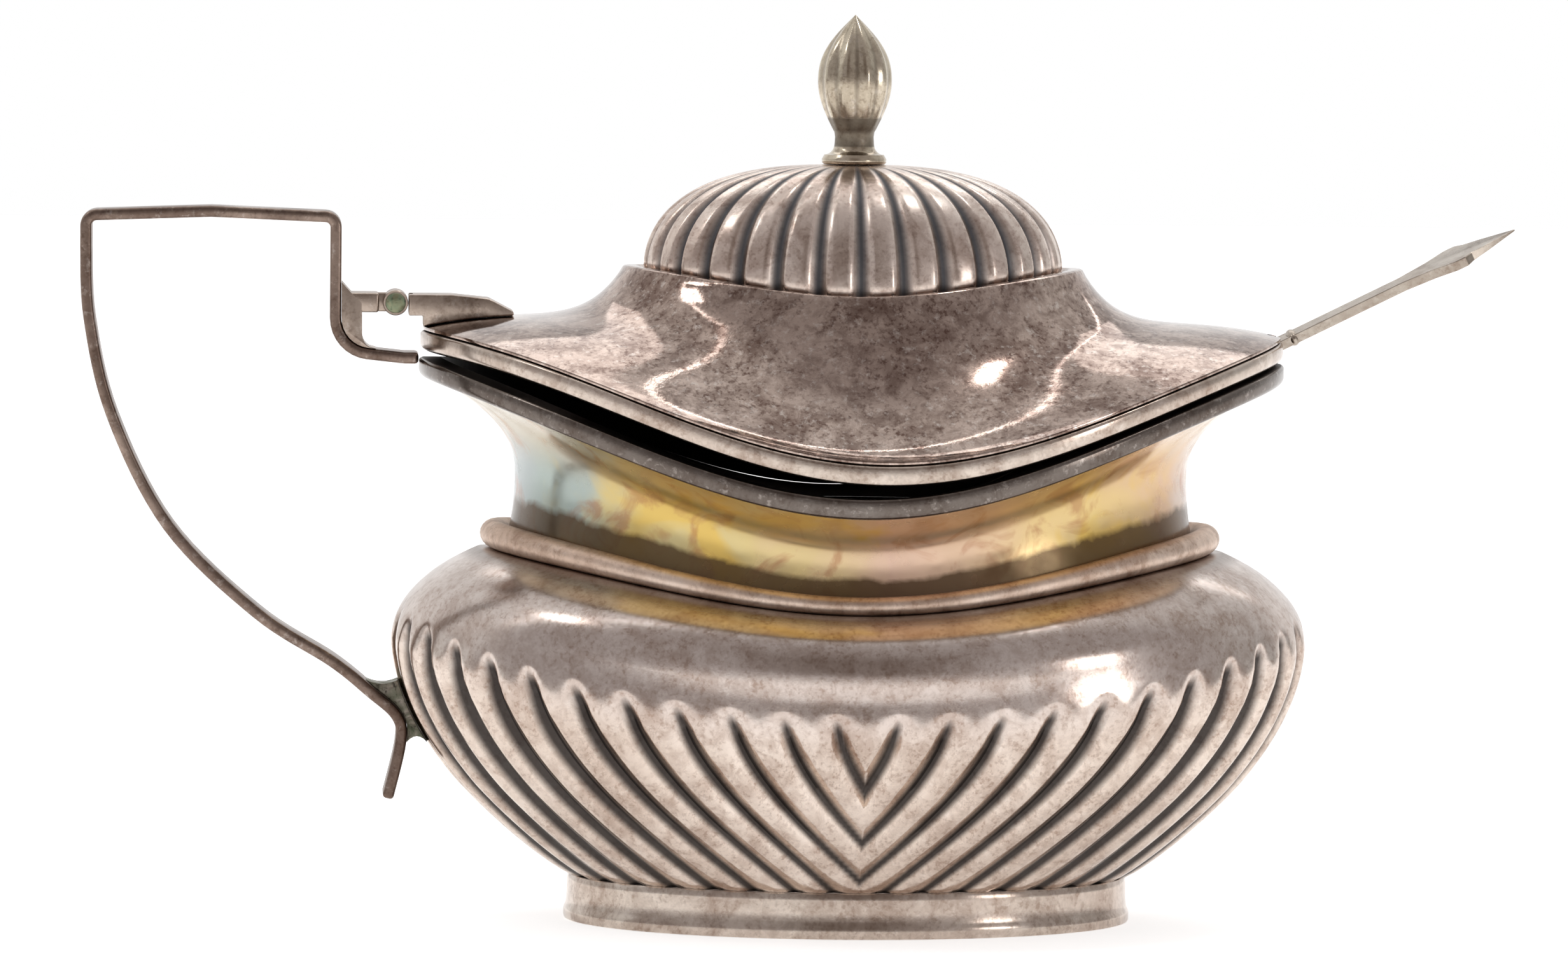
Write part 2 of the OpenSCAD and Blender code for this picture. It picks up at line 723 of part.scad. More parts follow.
// Dome: its half-length at a height, and its height at a half-length
function dome_at(rise) = dome_half * pow(1 - pow(rise / dome_h, dome_top_power), 1 / dome_side_power);
function dome_rise_at(half) =
    dome_h * pow(1 - pow(half / dome_half, dome_side_power), 1 / dome_top_power);
function dome_z(rise, u) = dome_base_z + rise - collar_dip * (1 - boat(u)) * (1 - rise / dome_h);
function dome_ring(rise) =
    let (n = dome_reeds * dome_cols, half = dome_at(rise), depth = dome_groove * half / dome_half)
    [
        for (i = [0:n - 1])
            let (t = 4 * i / n)
            plan_point(t, half, -depth * crest(i / dome_cols), dome_z(rise, sin(plan_angle(t))))
    ];

module lid_dome() {
    inner_half = dome_cap_half - sheet / 2;
    inner_cap = dome_cap_z - sheet;
    color("rosybrown")
    difference() {
        skin(concat(
            [flat_ring(inner_half, inner_cap, dome_reeds)],
            [for (i = [len(dome_steps) - 2:-1:0])
                let (rise = dome_steps[i] * dome_h)
                ring(dome_at(rise) - sheet - dome_groove / oval_ratio,
                     function(u) dome_z(max(0, rise - sheet), u), dome_reeds)],
            [for (f = dome_steps) dome_ring(f * dome_h)],
            [flat_ring(dome_cap_half, dome_cap_z, dome_reeds)]));
        translate([0, 0, dome_cap_z - 3 * sheet]) cylinder(r = stud_r + seam, h = 4 * sheet);
    }
}

module hinge_leaf() {
    near = pin_x + knuckle_r + seam;
    seat = [for (i = [0:leaf_steps - 1])
        [-skirt_half(skirt_steps[i]), skirt_z(skirt_steps[i], -1) + seam]];
    tip = seat[leaf_steps - 1];
    top = pin_z + leaf_over;
    color("gray")
    difference() {
        upright_plate(hinge_w)
            polygon(concat(
                [[near, top], [near, pin_z - knuckle_r]],
                [[seat[0].x, pin_z - knuckle_r]],
                seat,
                [tip + [0, leaf_tip_t], [pin_x + leaf_level, top]]));
        translate([near - 1, -knuckle_w / 2 - hinge_fit, pin_z - hinge_up])
            cube([1 + knuckle_room, knuckle_w + 2 * hinge_fit, 2 * hinge_up]);
    }
}

module lid_knuckles() {
    middle_y = (knuckle_w + outer_knuckle_w) / 2 + hinge_fit;
    color("gray")
    for (side = [-1, 1])
        translate([0, side * middle_y, 0])
            difference() {
                along_pin(knuckle_r, outer_knuckle_w);
                along_pin(pin_r + hinge_fit, 2 * outer_knuckle_w);
            }
}

// Radius of the bud; v runs from its stem to its tip
function bud_at(v) =
    v < bud_fattest
    ? finial_stem_r + (bud_r - finial_stem_r) * sin(90 * v / bud_fattest)
    : bud_r * cos(90 * pow((v - bud_fattest) / (1 - bud_fattest), 1.2));
function bud_ring(v) =
    let (n = bud_lobes * bud_cols)
    [
        for (i = [0:n - 1])
            let (r = bud_at(v) * (1 - bud_groove * crest(i / bud_cols)))
            [r * cos(360 * i / n), r * sin(360 * i / n), finial_z + finial_stem_h + bud_h * v]
    ];

module finial() {
    foot_t = 0.8;
    cove = finial_foot_r - finial_stem_r;
    stem_top = finial_z + finial_stem_h + bud_h * bud_fattest / 2;
    color("silver")
    union() {
        translate([0, 0, nut_z - stud_end]) cylinder(r = stud_r, h = finial_z - nut_z + stud_end + foot_t);
        rotate_extrude()
            polygon(concat(
                [[0, finial_z], [finial_foot_r, finial_z], [finial_foot_r, finial_z + foot_t / 2]],
                [for (turn = [0:30:90])
                    [finial_foot_r - cove * sin(turn), finial_z + foot_t + cove * (1 - cos(turn))]],
                [[finial_stem_r * (1 - bud_groove), finial_z + finial_stem_h]],
                [[finial_stem_r / 2, stem_top], [0, stem_top]]));
        skin([for (v = bud_steps) bud_ring(v)], tip = [0, 0, finial_z + finial_h]);
    }
}

module finial_nut() {
    color("gray")
    translate([0, 0, nut_z])
        difference() {
            cylinder(r = nut_r, h = nut_h, $fn = 6);
            translate([0, 0, -1]) cylinder(r = stud_r + seam, h = nut_h + 2);
        }
}

// Spoon, drawn along its stem
function scoop_ring(turn, wall) = [
    for (i = [0:scoop_n - 1])
        let (a = 360 * i / scoop_n)
        [(scoop_l / 2 - wall) * cos(turn) * cos(a),
         (scoop_w / 2 - wall) * cos(turn) * sin(a),
         -(scoop_d - wall) * sin(turn)]
];

module spoon_stem() {
    root = -(spoon_in - scoop_l + scoop_lap);
    shoulder = spoon_out - shoulder_back;
    half = [
        [root, spoon_root_w / 2],
        [0, stem_w / 2],
        [shoulder - 4 * shoulder_l, stem_w / 2],
        [shoulder, spoon_end_w / 2],
        [shoulder + shoulder_l, spoon_end_w / 2],
        [shoulder + shoulder_l + neck_back / 2, spoon_end_w / 2 - neck_back / 2],
        [spoon_out, 0],
    ];
    linear_extrude(height = stem_t, center = true)
        polygon(concat(half, [for (p = backwards(half)) if (p.y > 0) [p.x, -p.y]]));
}

module spoon() {
    color("lightgray")
    translate([spoon_x, 0, spoon_z])
        rotate([0, -spoon_tilt, 0])
        rotate([spoon_roll, 0, 0])
        union() {
            spoon_stem();
            translate([-(spoon_in - scoop_l / 2), 0, stem_t / 2])
                skin(concat(
                    [for (turn = [72, 48, 24, 0]) scoop_ring(turn, 0)],
                    [for (turn = [0, 24, 48, 72]) scoop_ring(turn, scoop_wall)]));
        }
}

foot_ring();
bowl();
shoulder_bead();
neck_band();
rim_wire();
glass_liner();
handle_strap();
handle_pad();
hinge_lug();
hinge_pin();
lid_rim_wire();
lid_skirt();
lid_dome();
hinge_leaf();
lid_knuckles();
finial();
finial_nut();
spoon();
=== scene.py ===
# %% [markdown]
# # A silver mustard pot, step by step
# The pot stands on an oval foot. Its level lines dip at the front and back, like the gunwale of a boat,
# and rise at the two ends, where the handle and the spoon are. The solids of the frame carry the joints
# and the sizes. Here each of them gets a finer piece in its place, with old, tarnished silver on it.

import math

import bpy
import numpy as np
from mathutils import Matrix, Quaternion, Vector


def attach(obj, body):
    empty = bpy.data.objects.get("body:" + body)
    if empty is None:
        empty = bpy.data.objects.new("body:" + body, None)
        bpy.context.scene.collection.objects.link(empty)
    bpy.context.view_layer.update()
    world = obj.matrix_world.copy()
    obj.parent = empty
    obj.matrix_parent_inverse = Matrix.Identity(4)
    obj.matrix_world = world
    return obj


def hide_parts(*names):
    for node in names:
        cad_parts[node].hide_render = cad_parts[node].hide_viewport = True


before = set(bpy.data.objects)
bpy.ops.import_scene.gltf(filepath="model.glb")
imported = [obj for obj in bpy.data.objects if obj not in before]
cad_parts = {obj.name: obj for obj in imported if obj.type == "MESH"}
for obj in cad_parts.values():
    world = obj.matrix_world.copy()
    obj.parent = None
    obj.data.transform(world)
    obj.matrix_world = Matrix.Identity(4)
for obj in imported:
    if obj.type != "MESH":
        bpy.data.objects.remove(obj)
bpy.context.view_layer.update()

# %% [markdown]
# ## The boat
# Every height on the body is named by its level at the ends of the oval. Towards the front and back a
# level line dips, the more the higher it lies, and this one rule keeps the foot, the reeds, the bead, the
# neck and the rim in step. Lengths are in millimetres until the last moment, when they become metres.

# %% Heights of the boat
MM = 0.001
OVAL = 0.72
SAG = 0.245
BASE = 3.85
BELLY = 24.2
SHOULDER = 31.1
WAIST = 37.5
LIP = 45.3
RIM = 47.0


def boat(u):
    """0 at the front and back middle, 1 at the ends, where u is the share of the half-length."""
    return (u * u + np.sin(math.pi / 2 * u) ** 2) / 2


def lift(level, u):
    """The height of a level line at u."""
    high = LIP - BASE
    return level - SAG * high * (np.maximum(level - BASE, 0) / high) ** 2.2 * (1 - boat(u))


def rim_top(u):
    return lift(LIP, u) + RIM - LIP


def at_level(level):
    return lambda u: lift(level, u)


def plus(rule, more):
    return lambda u: rule(u) + more


print("rim height at the front and at the ends:", round(float(rim_top(0.0)), 2), RIM)

# %% [markdown]
# ## Drawing and turning
# A lathe piece starts as a line beside the axis. Here one vertex is pulled out of the last, as with the E
# key, and a Screw modifier turns the line round. The round piece is then squeezed into the oval, and each
# of its rows is laid along its own level line. Moving the rows in code is the one step that the operators
# don't offer, because no bend of theirs follows the dip of a boat.

# %% Helpers that draw, turn and close a piece


def deselect():
    bpy.ops.object.select_all(action="DESELECT")


def choose(piece):
    """Makes a piece the active one and the only one selected."""
    deselect()
    piece.select_set(True)
    bpy.context.view_layer.objects.active = piece


def add(basic, name, **shape):
    """A basic mesh at the origin, from one of the operators that add one."""
    deselect()
    basic(location=(0, 0, 0), **shape)
    piece = bpy.context.active_object
    piece.name = name
    return piece


def edit_all():
    """Goes into Edit Mode with everything selected."""
    bpy.ops.object.mode_set(mode="EDIT")
    bpy.ops.mesh.select_all(action="SELECT")


def leave_edit():
    bpy.ops.object.mode_set(mode="OBJECT")


def move_by(piece, *way):
    """Moves a piece's mesh by millimetres."""
    piece.data.transform(Matrix.Translation([step * MM for step in way]))


def get_points(piece):
    co = np.zeros(len(piece.data.vertices) * 3)
    piece.data.vertices.foreach_get("co", co)
    return co.reshape(-1, 3) / MM


def set_points(piece, co):
    piece.data.vertices.foreach_set("co", (np.asarray(co) * MM).ravel())
    piece.data.update()


def draw(name, line):
    """A line of edges through the points of line, each vertex pulled out of the one before."""
    piece = add(bpy.ops.mesh.primitive_plane_add, name, size=MM)
    piece.data.name = name
    edit_all()
    bpy.ops.mesh.merge(type="CENTER")
    bpy.ops.transform.translate(value=Vector(line[0]) * MM)
    for before, after in zip(line, line[1:]):
        step = (Vector(after) - Vector(before)) * MM
        bpy.ops.mesh.extrude_region_move(TRANSFORM_OT_translate={"value": step})
    leave_edit()
    return piece


def turn(name, line, columns):
    """Turns a line round the Z axis, and returns the piece, its rows and its angles from the right end."""
    piece = draw(name, line)
    drawn = get_points(piece)
    gaps = np.linalg.norm(drawn[:, None, :] - np.array(line)[None, :, :], axis=2)
    rows = gaps.argmin(axis=1)
    screw = piece.modifiers.new("turn", "SCREW")
    screw.steps = columns
    screw.render_steps = columns
    screw.use_merge_vertices = False
    bpy.ops.object.modifier_apply(modifier="turn")
    angles = np.repeat(np.arange(columns) * 2 * math.pi / columns, len(line))
    return piece, np.tile(rows, columns), angles


def close(piece, angle=35):
    """Merges the seams, turns the faces outwards and shades the piece."""
    choose(piece)
    edit_all()
    bpy.ops.mesh.remove_doubles(threshold=0.002 * MM)
    bpy.ops.mesh.normals_make_consistent(inside=False)
    leave_edit()
    bpy.ops.object.shade_smooth_by_angle(angle=math.radians(angle))
    return piece


def pull_out(way, fill=True):
    """Pulls the active line, filled as a face or left open, out along a way."""
    edit_all()
    if fill:
        bpy.ops.mesh.edge_face_add()
    bpy.ops.mesh.extrude_region_move(TRANSFORM_OT_translate={"value": [step * MM for step in way]})
    bpy.ops.mesh.select_all(action="SELECT")
    bpy.ops.mesh.normals_make_consistent(inside=False)
    leave_edit()


def soften(piece, width, segments=3, angle=50):
    """Bevels the active piece's edges that are sharper than an angle."""
    edges = piece.modifiers.new("edges", "BEVEL")
    edges.width = width * MM
    edges.segments = segments
    edges.limit_method = "ANGLE"
    edges.angle_limit = math.radians(angle)
    bpy.ops.object.modifier_apply(modifier="edges")


def cut_out(piece, cutter):
    """Takes the cutter's shape out of a piece and deletes the cutter."""
    cut = piece.modifiers.new("cut", "BOOLEAN")
    cut.operation = "DIFFERENCE"
    cut.object = cutter
    choose(piece)
    bpy.ops.object.modifier_apply(modifier="cut")
    bpy.data.objects.remove(cutter)


def keep_per_point(piece, values, name="groove"):
    """Keeps a value on each vertex as an attribute for the finish; by default how dark the point is made, by
    tarnish and by painted light.
    """
    layer = piece.data.attributes.new(name, "FLOAT", "POINT")
    layer.data.foreach_set("value", np.asarray(values, dtype=np.float32))


def oval(name, rows, columns=256, tarnish_and_painted_light=None):
    """A closed ring of the oval. A row is its half-length and the rule for its height."""
    rows = rows + rows[:1]
    line = [(half, 0, float(rule(1.0))) for half, rule in rows]
    piece, row, turned = turn(name, line, columns)
    co = get_points(piece)
    half = np.array([half for half, rule in rows])[row]
    co[:, 0] = half * np.cos(turned)
    co[:, 1] = OVAL * half * np.sin(turned)
    u = np.cos(turned)
    for i, (_, rule) in enumerate(rows):
        co[row == i, 2] = rule(u[row == i])
    set_points(piece, co)
    if tarnish_and_painted_light:
        keep_per_point(piece, np.array(tarnish_and_painted_light + tarnish_and_painted_light[:1])[row])
    return close(piece)


def stand_for(piece, node, body, finish):
    """The piece takes the place of a CAD node, moves with its body and wears a finish."""
    piece.data.materials.clear()
    piece.data.materials.append(finish)
    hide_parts(node)
    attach(piece, body)
    print(f"{piece.name}: {len(piece.data.polygons)} faces for {node}")


print("helpers ready")

# %% [markdown]
# ## Nodes for old silver
# Tarnish on silver is a thin sulphide film. It runs from bright metal through yellow and pinkish grey to
# brown and almost black, gathers in hollows that no cloth reaches, and is rubbed away on what stands
# proud. So every finish here mixes a few such colours by noise at three sizes and by a darkening kept on
# the mesh, which is tarnish in the hollows and painted shade on the reed flanks, under the bead and in the
# gap under the lid, and the same masks drive the roughness.

# %% Helpers for the node trees


def start_finish(name):
    """A new material with its shader."""
    finish = bpy.data.materials.new(name)
    finish.use_nodes = True
    tree = finish.node_tree
    return finish, tree, tree.nodes["Principled BSDF"]


def put(tree, kind, sockets=None, **settings):
    """Adds a node. A socket's value is a number or colour, or the output that feeds it."""
    made = tree.nodes.new("ShaderNode" + kind)
    for key, value in settings.items():
        setattr(made, key, value)
    for key, value in (sockets or {}).items():
        if isinstance(value, bpy.types.NodeSocket):
            tree.links.new(value, made.inputs[key])
        else:
            made.inputs[key].default_value = value
    return made


def where(tree):
    return put(tree, "TexCoord").outputs["Object"]


def attribute(tree, name):
    return put(tree, "Attribute", attribute_name=name).outputs["Fac"]


def noise(tree, size_mm, detail=3.0, stretch=(1, 1, 1), rough=0.55, twist=0.0):
    """Noise whose lumps are about size_mm across."""
    mapped = put(tree, "Mapping", {"Vector": where(tree), "Scale": stretch})
    kind = {"Scale": 0.5 / (size_mm * MM), "Detail": detail, "Roughness": rough, "Distortion": twist}
    return put(tree, "TexNoise", {"Vector": mapped.outputs[0], **kind}).outputs["Fac"]


def ramp(tree, value, stops):
    """A colour ramp; a stop is its place and an sRGB colour, or a grey."""
    made = put(tree, "ValToRGB", {"Fac": value})
    band = made.color_ramp
    while len(band.elements) < len(stops):
        band.elements.new(0.5)
    for element, (place, colour) in zip(band.elements, stops):
        element.position = place
        element.color = linear(colour) if isinstance(colour, tuple) else (colour, colour, colour, 1)
    return made.outputs["Color"]


def linear(colour):
    """An sRGB colour of 0 to 255 as the linear one that a shader takes."""
    parts = [c / 255 for c in colour]
    return [c / 12.92 if c < 0.04045 else ((c + 0.055) / 1.055) ** 2.4 for c in parts] + [1]


def math_node(tree, kind, a, b=0.0, c=0.0, clamp=False):
    """What a Math node makes of its numbers."""
    return put(tree, "Math", {0: a, 1: b, 2: c}, operation=kind, use_clamp=clamp).outputs[0]


def times(tree, a, b, clamp=False):
    return math_node(tree, "MULTIPLY", a, b, clamp=clamp)


def blend(tree, share, a, b, kind="MIX"):
    """Mixes two colours by a share."""
    a, b = (linear(colour) if isinstance(colour, tuple) else colour for colour in (a, b))
    return put(tree, "Mix", {0: share, 6: a, 7: b}, data_type="RGBA", blend_type=kind).outputs[2]


def spread(tree, value, start, end, low=0.0, high=1.0):
    """Takes a value between start and end to one between low and high."""
    ends = {"From Min": start, "From Max": end, "To Min": low, "To Max": high}
    return put(tree, "MapRange", {"Value": value, **ends}).outputs[0]


def bump(tree, height, depth_mm, strength=1.0, below=None):
    """Bumps of a depth, on top of other bumps if there are any."""
    sockets = {"Height": height, "Distance": depth_mm * MM, "Strength": strength}
    if below is not None:
        sockets["Normal"] = below
    return put(tree, "Bump", sockets).outputs[0]


def cover(tree, shader, colour, rough, normal):
    """Feeds a shader its colour, roughness and bumps."""
    for key, output in (("Base Color", colour), ("Roughness", rough), ("Normal", normal)):
        tree.links.new(output, shader.inputs[key])


print("node helpers ready")

# %% [markdown]
# ## Old silver
# One builder makes the silver of the body, lid, handle and spoon. What differs is how far the tarnish has
# gone: its colours, how much of the surface the brown clouds cover, and how dark the grooves are.

# %% Old silver


def old_silver(
    name, bright, tint, brown, dark, cloud=0.55, speckle=0.5, gloss=(0.2, 0.36), groove=False, upper=None
):
    """Silver under a film of tarnish, with brown clouds, fine specks, and grooves darkened by tarnish and by
    painted shade.
    """
    finish, tree, shader = start_finish(name)
    shader.inputs["Metallic"].default_value = 1.0
    clouds = noise(tree, 7.0, 5.0, rough=0.6, twist=0.4)
    patches = noise(tree, 2.2, 4.0, rough=0.65, twist=0.8)
    specks = noise(tree, 0.22, 2.0, rough=0.7)
    worn = ramp(tree, clouds, [(0.30, 0.0), (0.62, 1.0)])
    colour = blend(tree, worn, bright, tint)
    if upper:
        colour = blend(tree, times(tree, attribute(tree, "upper"), 0.75), colour, upper)
    browned = times(tree, ramp(tree, patches, [(0.46, 0.0), (0.68, 1.0)]), cloud, True)
    colour = blend(tree, browned, colour, brown)
    mottle = ramp(tree, noise(tree, 1.0, 5.0, rough=0.7, twist=0.5), [(0.44, 0.0), (0.62, 0.6 * speckle)])
    colour = blend(tree, mottle, colour, brown)
    freckles = times(tree, ramp(tree, specks, [(0.50, 0.0), (0.66, 1.0)]), speckle, True)
    freckles = times(tree, freckles, ramp(tree, patches, [(0.36, 0.15), (0.58, 1.0)]))
    colour = blend(tree, freckles, colour, brown)
    rubbed = ramp(tree, noise(tree, 0.35, 3.0, rough=0.7), [(0.56, 0.0), (0.72, 0.5 * speckle)])
    colour = blend(tree, rubbed, colour, (232, 222, 214))
    rough = math_node(tree, "MULTIPLY_ADD", worn, gloss[1] - gloss[0], gloss[0])
    if groove:
        # The groove attribute darkens the colour: tarnish in the hollows, and painted shade where the mesh
        # marks it.
        tarnish_and_painted_light = ramp(tree, attribute(tree, "groove"), [(0.25, 0.0), (0.95, 1.0)])
        colour = blend(tree, times(tree, tarnish_and_painted_light, 0.92), colour, dark)
        rough = math_node(tree, "MULTIPLY_ADD", tarnish_and_painted_light, 0.3, gloss[0])
    dents = bump(tree, noise(tree, 4.0, 2.0), 0.05, 0.5)
    cover(tree, shader, colour, rough, bump(tree, specks, 0.006, 0.6, below=dents))
    return finish


silver = old_silver("silver", (214, 202, 190), (194, 178, 166), (134, 110, 94), (30, 26, 26), groove=True)
# Painted shade: the rim wire is a darker copy of the silver, nearly black on its faces in the gap.
shaded_rim_silver = old_silver(
    "shaded_rim_silver", (122, 114, 108), (106, 97, 91), (76, 63, 55), (20, 18, 18), groove=True
)
hinge_silver = old_silver("hinge_silver", (196, 180, 166), (166, 150, 138), (108, 90, 78), (50, 44, 40))
bead_silver = old_silver(
    "bead_silver",
    (236, 218, 204),
    (216, 192, 174),
    (160, 130, 110),
    (60, 50, 44),
    cloud=0.6,
    gloss=(0.42, 0.52),
)
reeded_silver = old_silver(
    "reeded_silver",
    (230, 216, 204),
    (212, 196, 183),
    (150, 124, 108),
    (46, 43, 43),
    cloud=0.45,
    speckle=0.55,
    groove=True,
    upper=(208, 196, 190),
)
lid_silver = old_silver(
    "lid_silver",
    (208, 189, 177),
    (177, 157, 146),
    (98, 75, 66),
    (60, 50, 48),
    cloud=0.75,
    speckle=0.9,
    gloss=(0.04, 0.11),
)
dome_silver = old_silver(
    "dome_silver",
    (240, 227, 217),
    (222, 204, 192),
    (150, 124, 110),
    (74, 78, 84),
    cloud=0.5,
    gloss=(0.27, 0.4),
    groove=True,
)
dark_silver = old_silver(
    "dark_silver", (156, 138, 126), (124, 106, 96), (84, 66, 56), (40, 36, 34), cloud=0.6, gloss=(0.24, 0.4)
)
spoon_silver = old_silver(
    "spoon_silver", (196, 188, 176), (172, 160, 148), (120, 100, 84), (80, 70, 60), cloud=0.5, speckle=0.4
)
finial_silver = old_silver(
    "finial_silver", (220, 210, 190), (190, 176, 156), (124, 106, 88), (70, 62, 54), cloud=0.4, groove=True
)
print("silver finishes:", [m.name for m in bpy.data.materials if "silver" in m.name])

# %% [markdown]
# ## The gilded film on the neck
# The neck is hard to polish under the rim, so its film is thick enough to shine in colours: gold over most
# of it, in patches, blue-green towards the handle, orange and pink towards the spoon, brown at the foot.
# Towards the rim a brighter gold is a painted reflection, and the inside is dark with tarnish and painted
# shade.

# %% Gilded film


def gilded_film():
    finish, tree, shader = start_finish("gilded_silver")
    shader.inputs["Metallic"].default_value = 0.5
    axes = put(tree, "SeparateXYZ", {"Vector": where(tree)})
    wander = math_node(tree, "MULTIPLY_ADD", noise(tree, 6.0, 4.0, twist=0.6), 0.02, -0.01)
    along = math_node(tree, "ADD", axes.outputs["X"], wander)
    share = spread(tree, along, -0.03, 0.03)
    tint = ramp(
        tree,
        share,
        [
            (0.00, (182, 191, 191)),
            (0.12, (184, 197, 190)),
            (0.18, (224, 212, 160)),
            (0.36, (232, 210, 148)),
            (0.50, (232, 198, 176)),
            (0.62, (234, 202, 170)),
            (0.78, (240, 212, 142)),
            (0.90, (228, 192, 160)),
            (1.00, (210, 198, 190)),
        ],
    )
    gold = ramp(tree, noise(tree, 5.0, 3.0, twist=1.2), [(0.48, 0.0), (0.62, 0.75)])
    off_ends = ramp(tree, share, [(0.1, 0.0), (0.2, 1.0), (0.85, 1.0), (0.95, 0.0)])
    colour = blend(tree, times(tree, gold, off_ends), tint, (240, 200, 92))
    blotch = ramp(tree, noise(tree, 2.0, 4.0, twist=1.0), [(0.52, 0.0), (0.66, 1.0)])
    colour = blend(tree, times(tree, blotch, 0.55), colour, (178, 116, 80))
    low = attribute(tree, "groove")
    # Painted reflection: a brighter gold towards the rim, where the attribute is below zero.
    colour = blend(tree, times(tree, low, -0.4, True), colour, (234, 190, 112))
    ragged = math_node(tree, "MULTIPLY_ADD", noise(tree, 1.6, 5.0, twist=0.6), 0.9, low)
    tarnish_and_painted_light = ramp(tree, times(tree, ragged, 0.65), [(0.50, 0.0), (0.76, 0.9)])
    colour = blend(tree, tarnish_and_painted_light, colour, (92, 68, 40))
    # The inside of the neck is darkened by tarnish and by painted shade.
    inside = ramp(tree, times(tree, low, 0.5), [(0.6, 0.0), (0.8, 1.0)])
    colour = blend(tree, inside, colour, (50, 44, 40))
    rough = ramp(tree, noise(tree, 1.2, 3.0), [(0.3, 0.13), (0.7, 0.3)])
    rough = math_node(tree, "MAXIMUM", rough, times(tree, inside, 0.7))
    cover(tree, shader, colour, rough, bump(tree, noise(tree, 3.0, 2.0), 0.04, 0.5))
    return finish


gilded_silver = gilded_film()
print("gilded film ready")

# %% [markdown]
# ## Solder, brass and glass
# Grey-green solder shows where the handle meets the bowl, and the hinge pin is brass with verdigris on its
# heads. The liner inside is moulded blue glass.

# %% Solder, verdigris and glass


def green_metal(name, pale, green, dark):
    finish, tree, shader = start_finish(name)
    shader.inputs["Metallic"].default_value = 0.7
    crust = ramp(tree, noise(tree, 0.5, 4.0, twist=0.5), [(0.35, 0.0), (0.65, 1.0)])
    colour = blend(tree, crust, pale, green)
    pits = ramp(tree, noise(tree, 0.2, 3.0), [(0.55, 0.0), (0.72, 1.0)])
    colour = blend(tree, pits, colour, dark)
    rough = ramp(tree, crust, [(0.0, 0.3), (1.0, 0.6)])
    cover(tree, shader, colour, rough, bump(tree, crust, 0.05, 0.6))
    return finish


solder = green_metal("solder", (150, 142, 130), (112, 118, 96), (60, 54, 46))
pin_brass = green_metal("pin_brass", (150, 150, 120), (118, 140, 116), (70, 78, 62))


def glass_of_liner():
    finish, tree, shader = start_finish("blue_glass")
    shader.inputs["Base Color"].default_value = linear((40, 64, 170))
    shader.inputs["Transmission Weight"].default_value = 1.0
    shader.inputs["IOR"].default_value = 1.5
    shader.inputs["Roughness"].default_value = 0.04
    ripple = bump(tree, noise(tree, 5.0, 2.0, stretch=(1, 1, 0.4)), 0.08, 0.4)
    tree.links.new(ripple, shader.inputs["Normal"])
    return finish


blue_glass = glass_of_liner()
print("solder, brass and glass ready")

# %% [markdown]
# ## The foot
# The foot is a low oval band. It leans in a little towards the bowl, and its lowest edge is a thin band
# that stands proud, worn round by use.

# %% Foot
FOOT = 23.8


def level(z):
    return lambda u: z + 0 * u


foot_line = [(22.2, 0.0), (23.6, 0.0), (23.74, 0.05), (FOOT, 0.2), (FOOT, 0.7), (23.76, 0.95), (23.66, 1.15)]
foot_line += [(23.58, 1.5), (23.54, 2.2), (23.54, 3.2), (23.5, 3.62), (23.4, 3.8), (22.2, 3.8)]
foot = oval("foot", [(half, level(z)) for half, z in foot_line])
stand_for(foot, "foot_ring", "pot", silver)

# %% [markdown]
# ## The reeded bowl
# The bowl's reeds are the showpiece. They stand in rows round the belly, sweep towards the middle of the
# front as they go down, and the nearest ones run out on the middle line under a heart. A column of the
# mesh follows each reed, so the grooves stay clean: the mesh is turned with 776 columns and each vertex is
# then moved to its place along the reed and pushed out by the reed's round top. How dark each point is
# made is kept as an attribute for the finish: tarnish in the grooves, and painted shade on the reed flanks,
# stronger towards the ends, and under the bead.

# %% Reeds
# The way round is counted in reeds from the middle of the front. The depth is in millimetres.
REEDS = 11
HEART = 0.62
HEART_REEDS = 2.2
SPAN = HEART + REEDS + 0.5
SWEEP = 1.85
SWING = 3.7
SWING_BACK = 0.5
SETTLE = 7
GROOVE_DEPTH = 1.15
HEART_COLUMNS = 10
REED_COLUMNS = 16
QUARTER = HEART_COLUMNS + REED_COLUMNS * REEDS + REED_COLUMNS // 2


def reed_top(u):
    return BELLY - 3.2 + 5.7 * np.abs(u) ** 2.5


def bowl_half(z):
    low = 23.2 + 14.3 * np.sin(math.pi / 2 * np.clip((z - BASE) / (BELLY - BASE), 0, 1)) ** 0.85
    high = 37.5 - 6.1 * (np.maximum(z - BELLY, 0) / 6.9) ** 2.6
    return np.where(z <= BELLY, low, high)


def groove_of(near, wide):
    """1 on a groove's line, 0 on the reed's top; near is the distance from the line in reeds."""
    return 0.5 + 0.5 * np.cos(math.pi * np.clip(near / wide, 0, 1))


def reed_groove(near, wide):
    """The same between round reeds, with a steeper core of a half-width."""
    return 0.55 * (1 - 2 * near) ** 2 + 0.45 * (1 - np.clip(near / wide, 0, 1) ** 2)


def ease(x):
    x = np.clip(x, 0, 1)
    return x * x * (3 - 2 * x)


def swell(below):
    """How far the sheet is raised at a depth below the reeds' tops, and a little above them."""
    return ease((below + 2.2) / 6.0)


def groove_width(below, u):
    """A groove's half-width in reeds; it has a narrow, round end and is widest low down and at the ends."""
    wide = (0.15 + 0.19 * ease(below / 7)) * (1 + 0.35 * u**2)
    return wide * np.sqrt(1 - (1 - np.clip(below / 1.2, 0.02, 1)) ** 2)


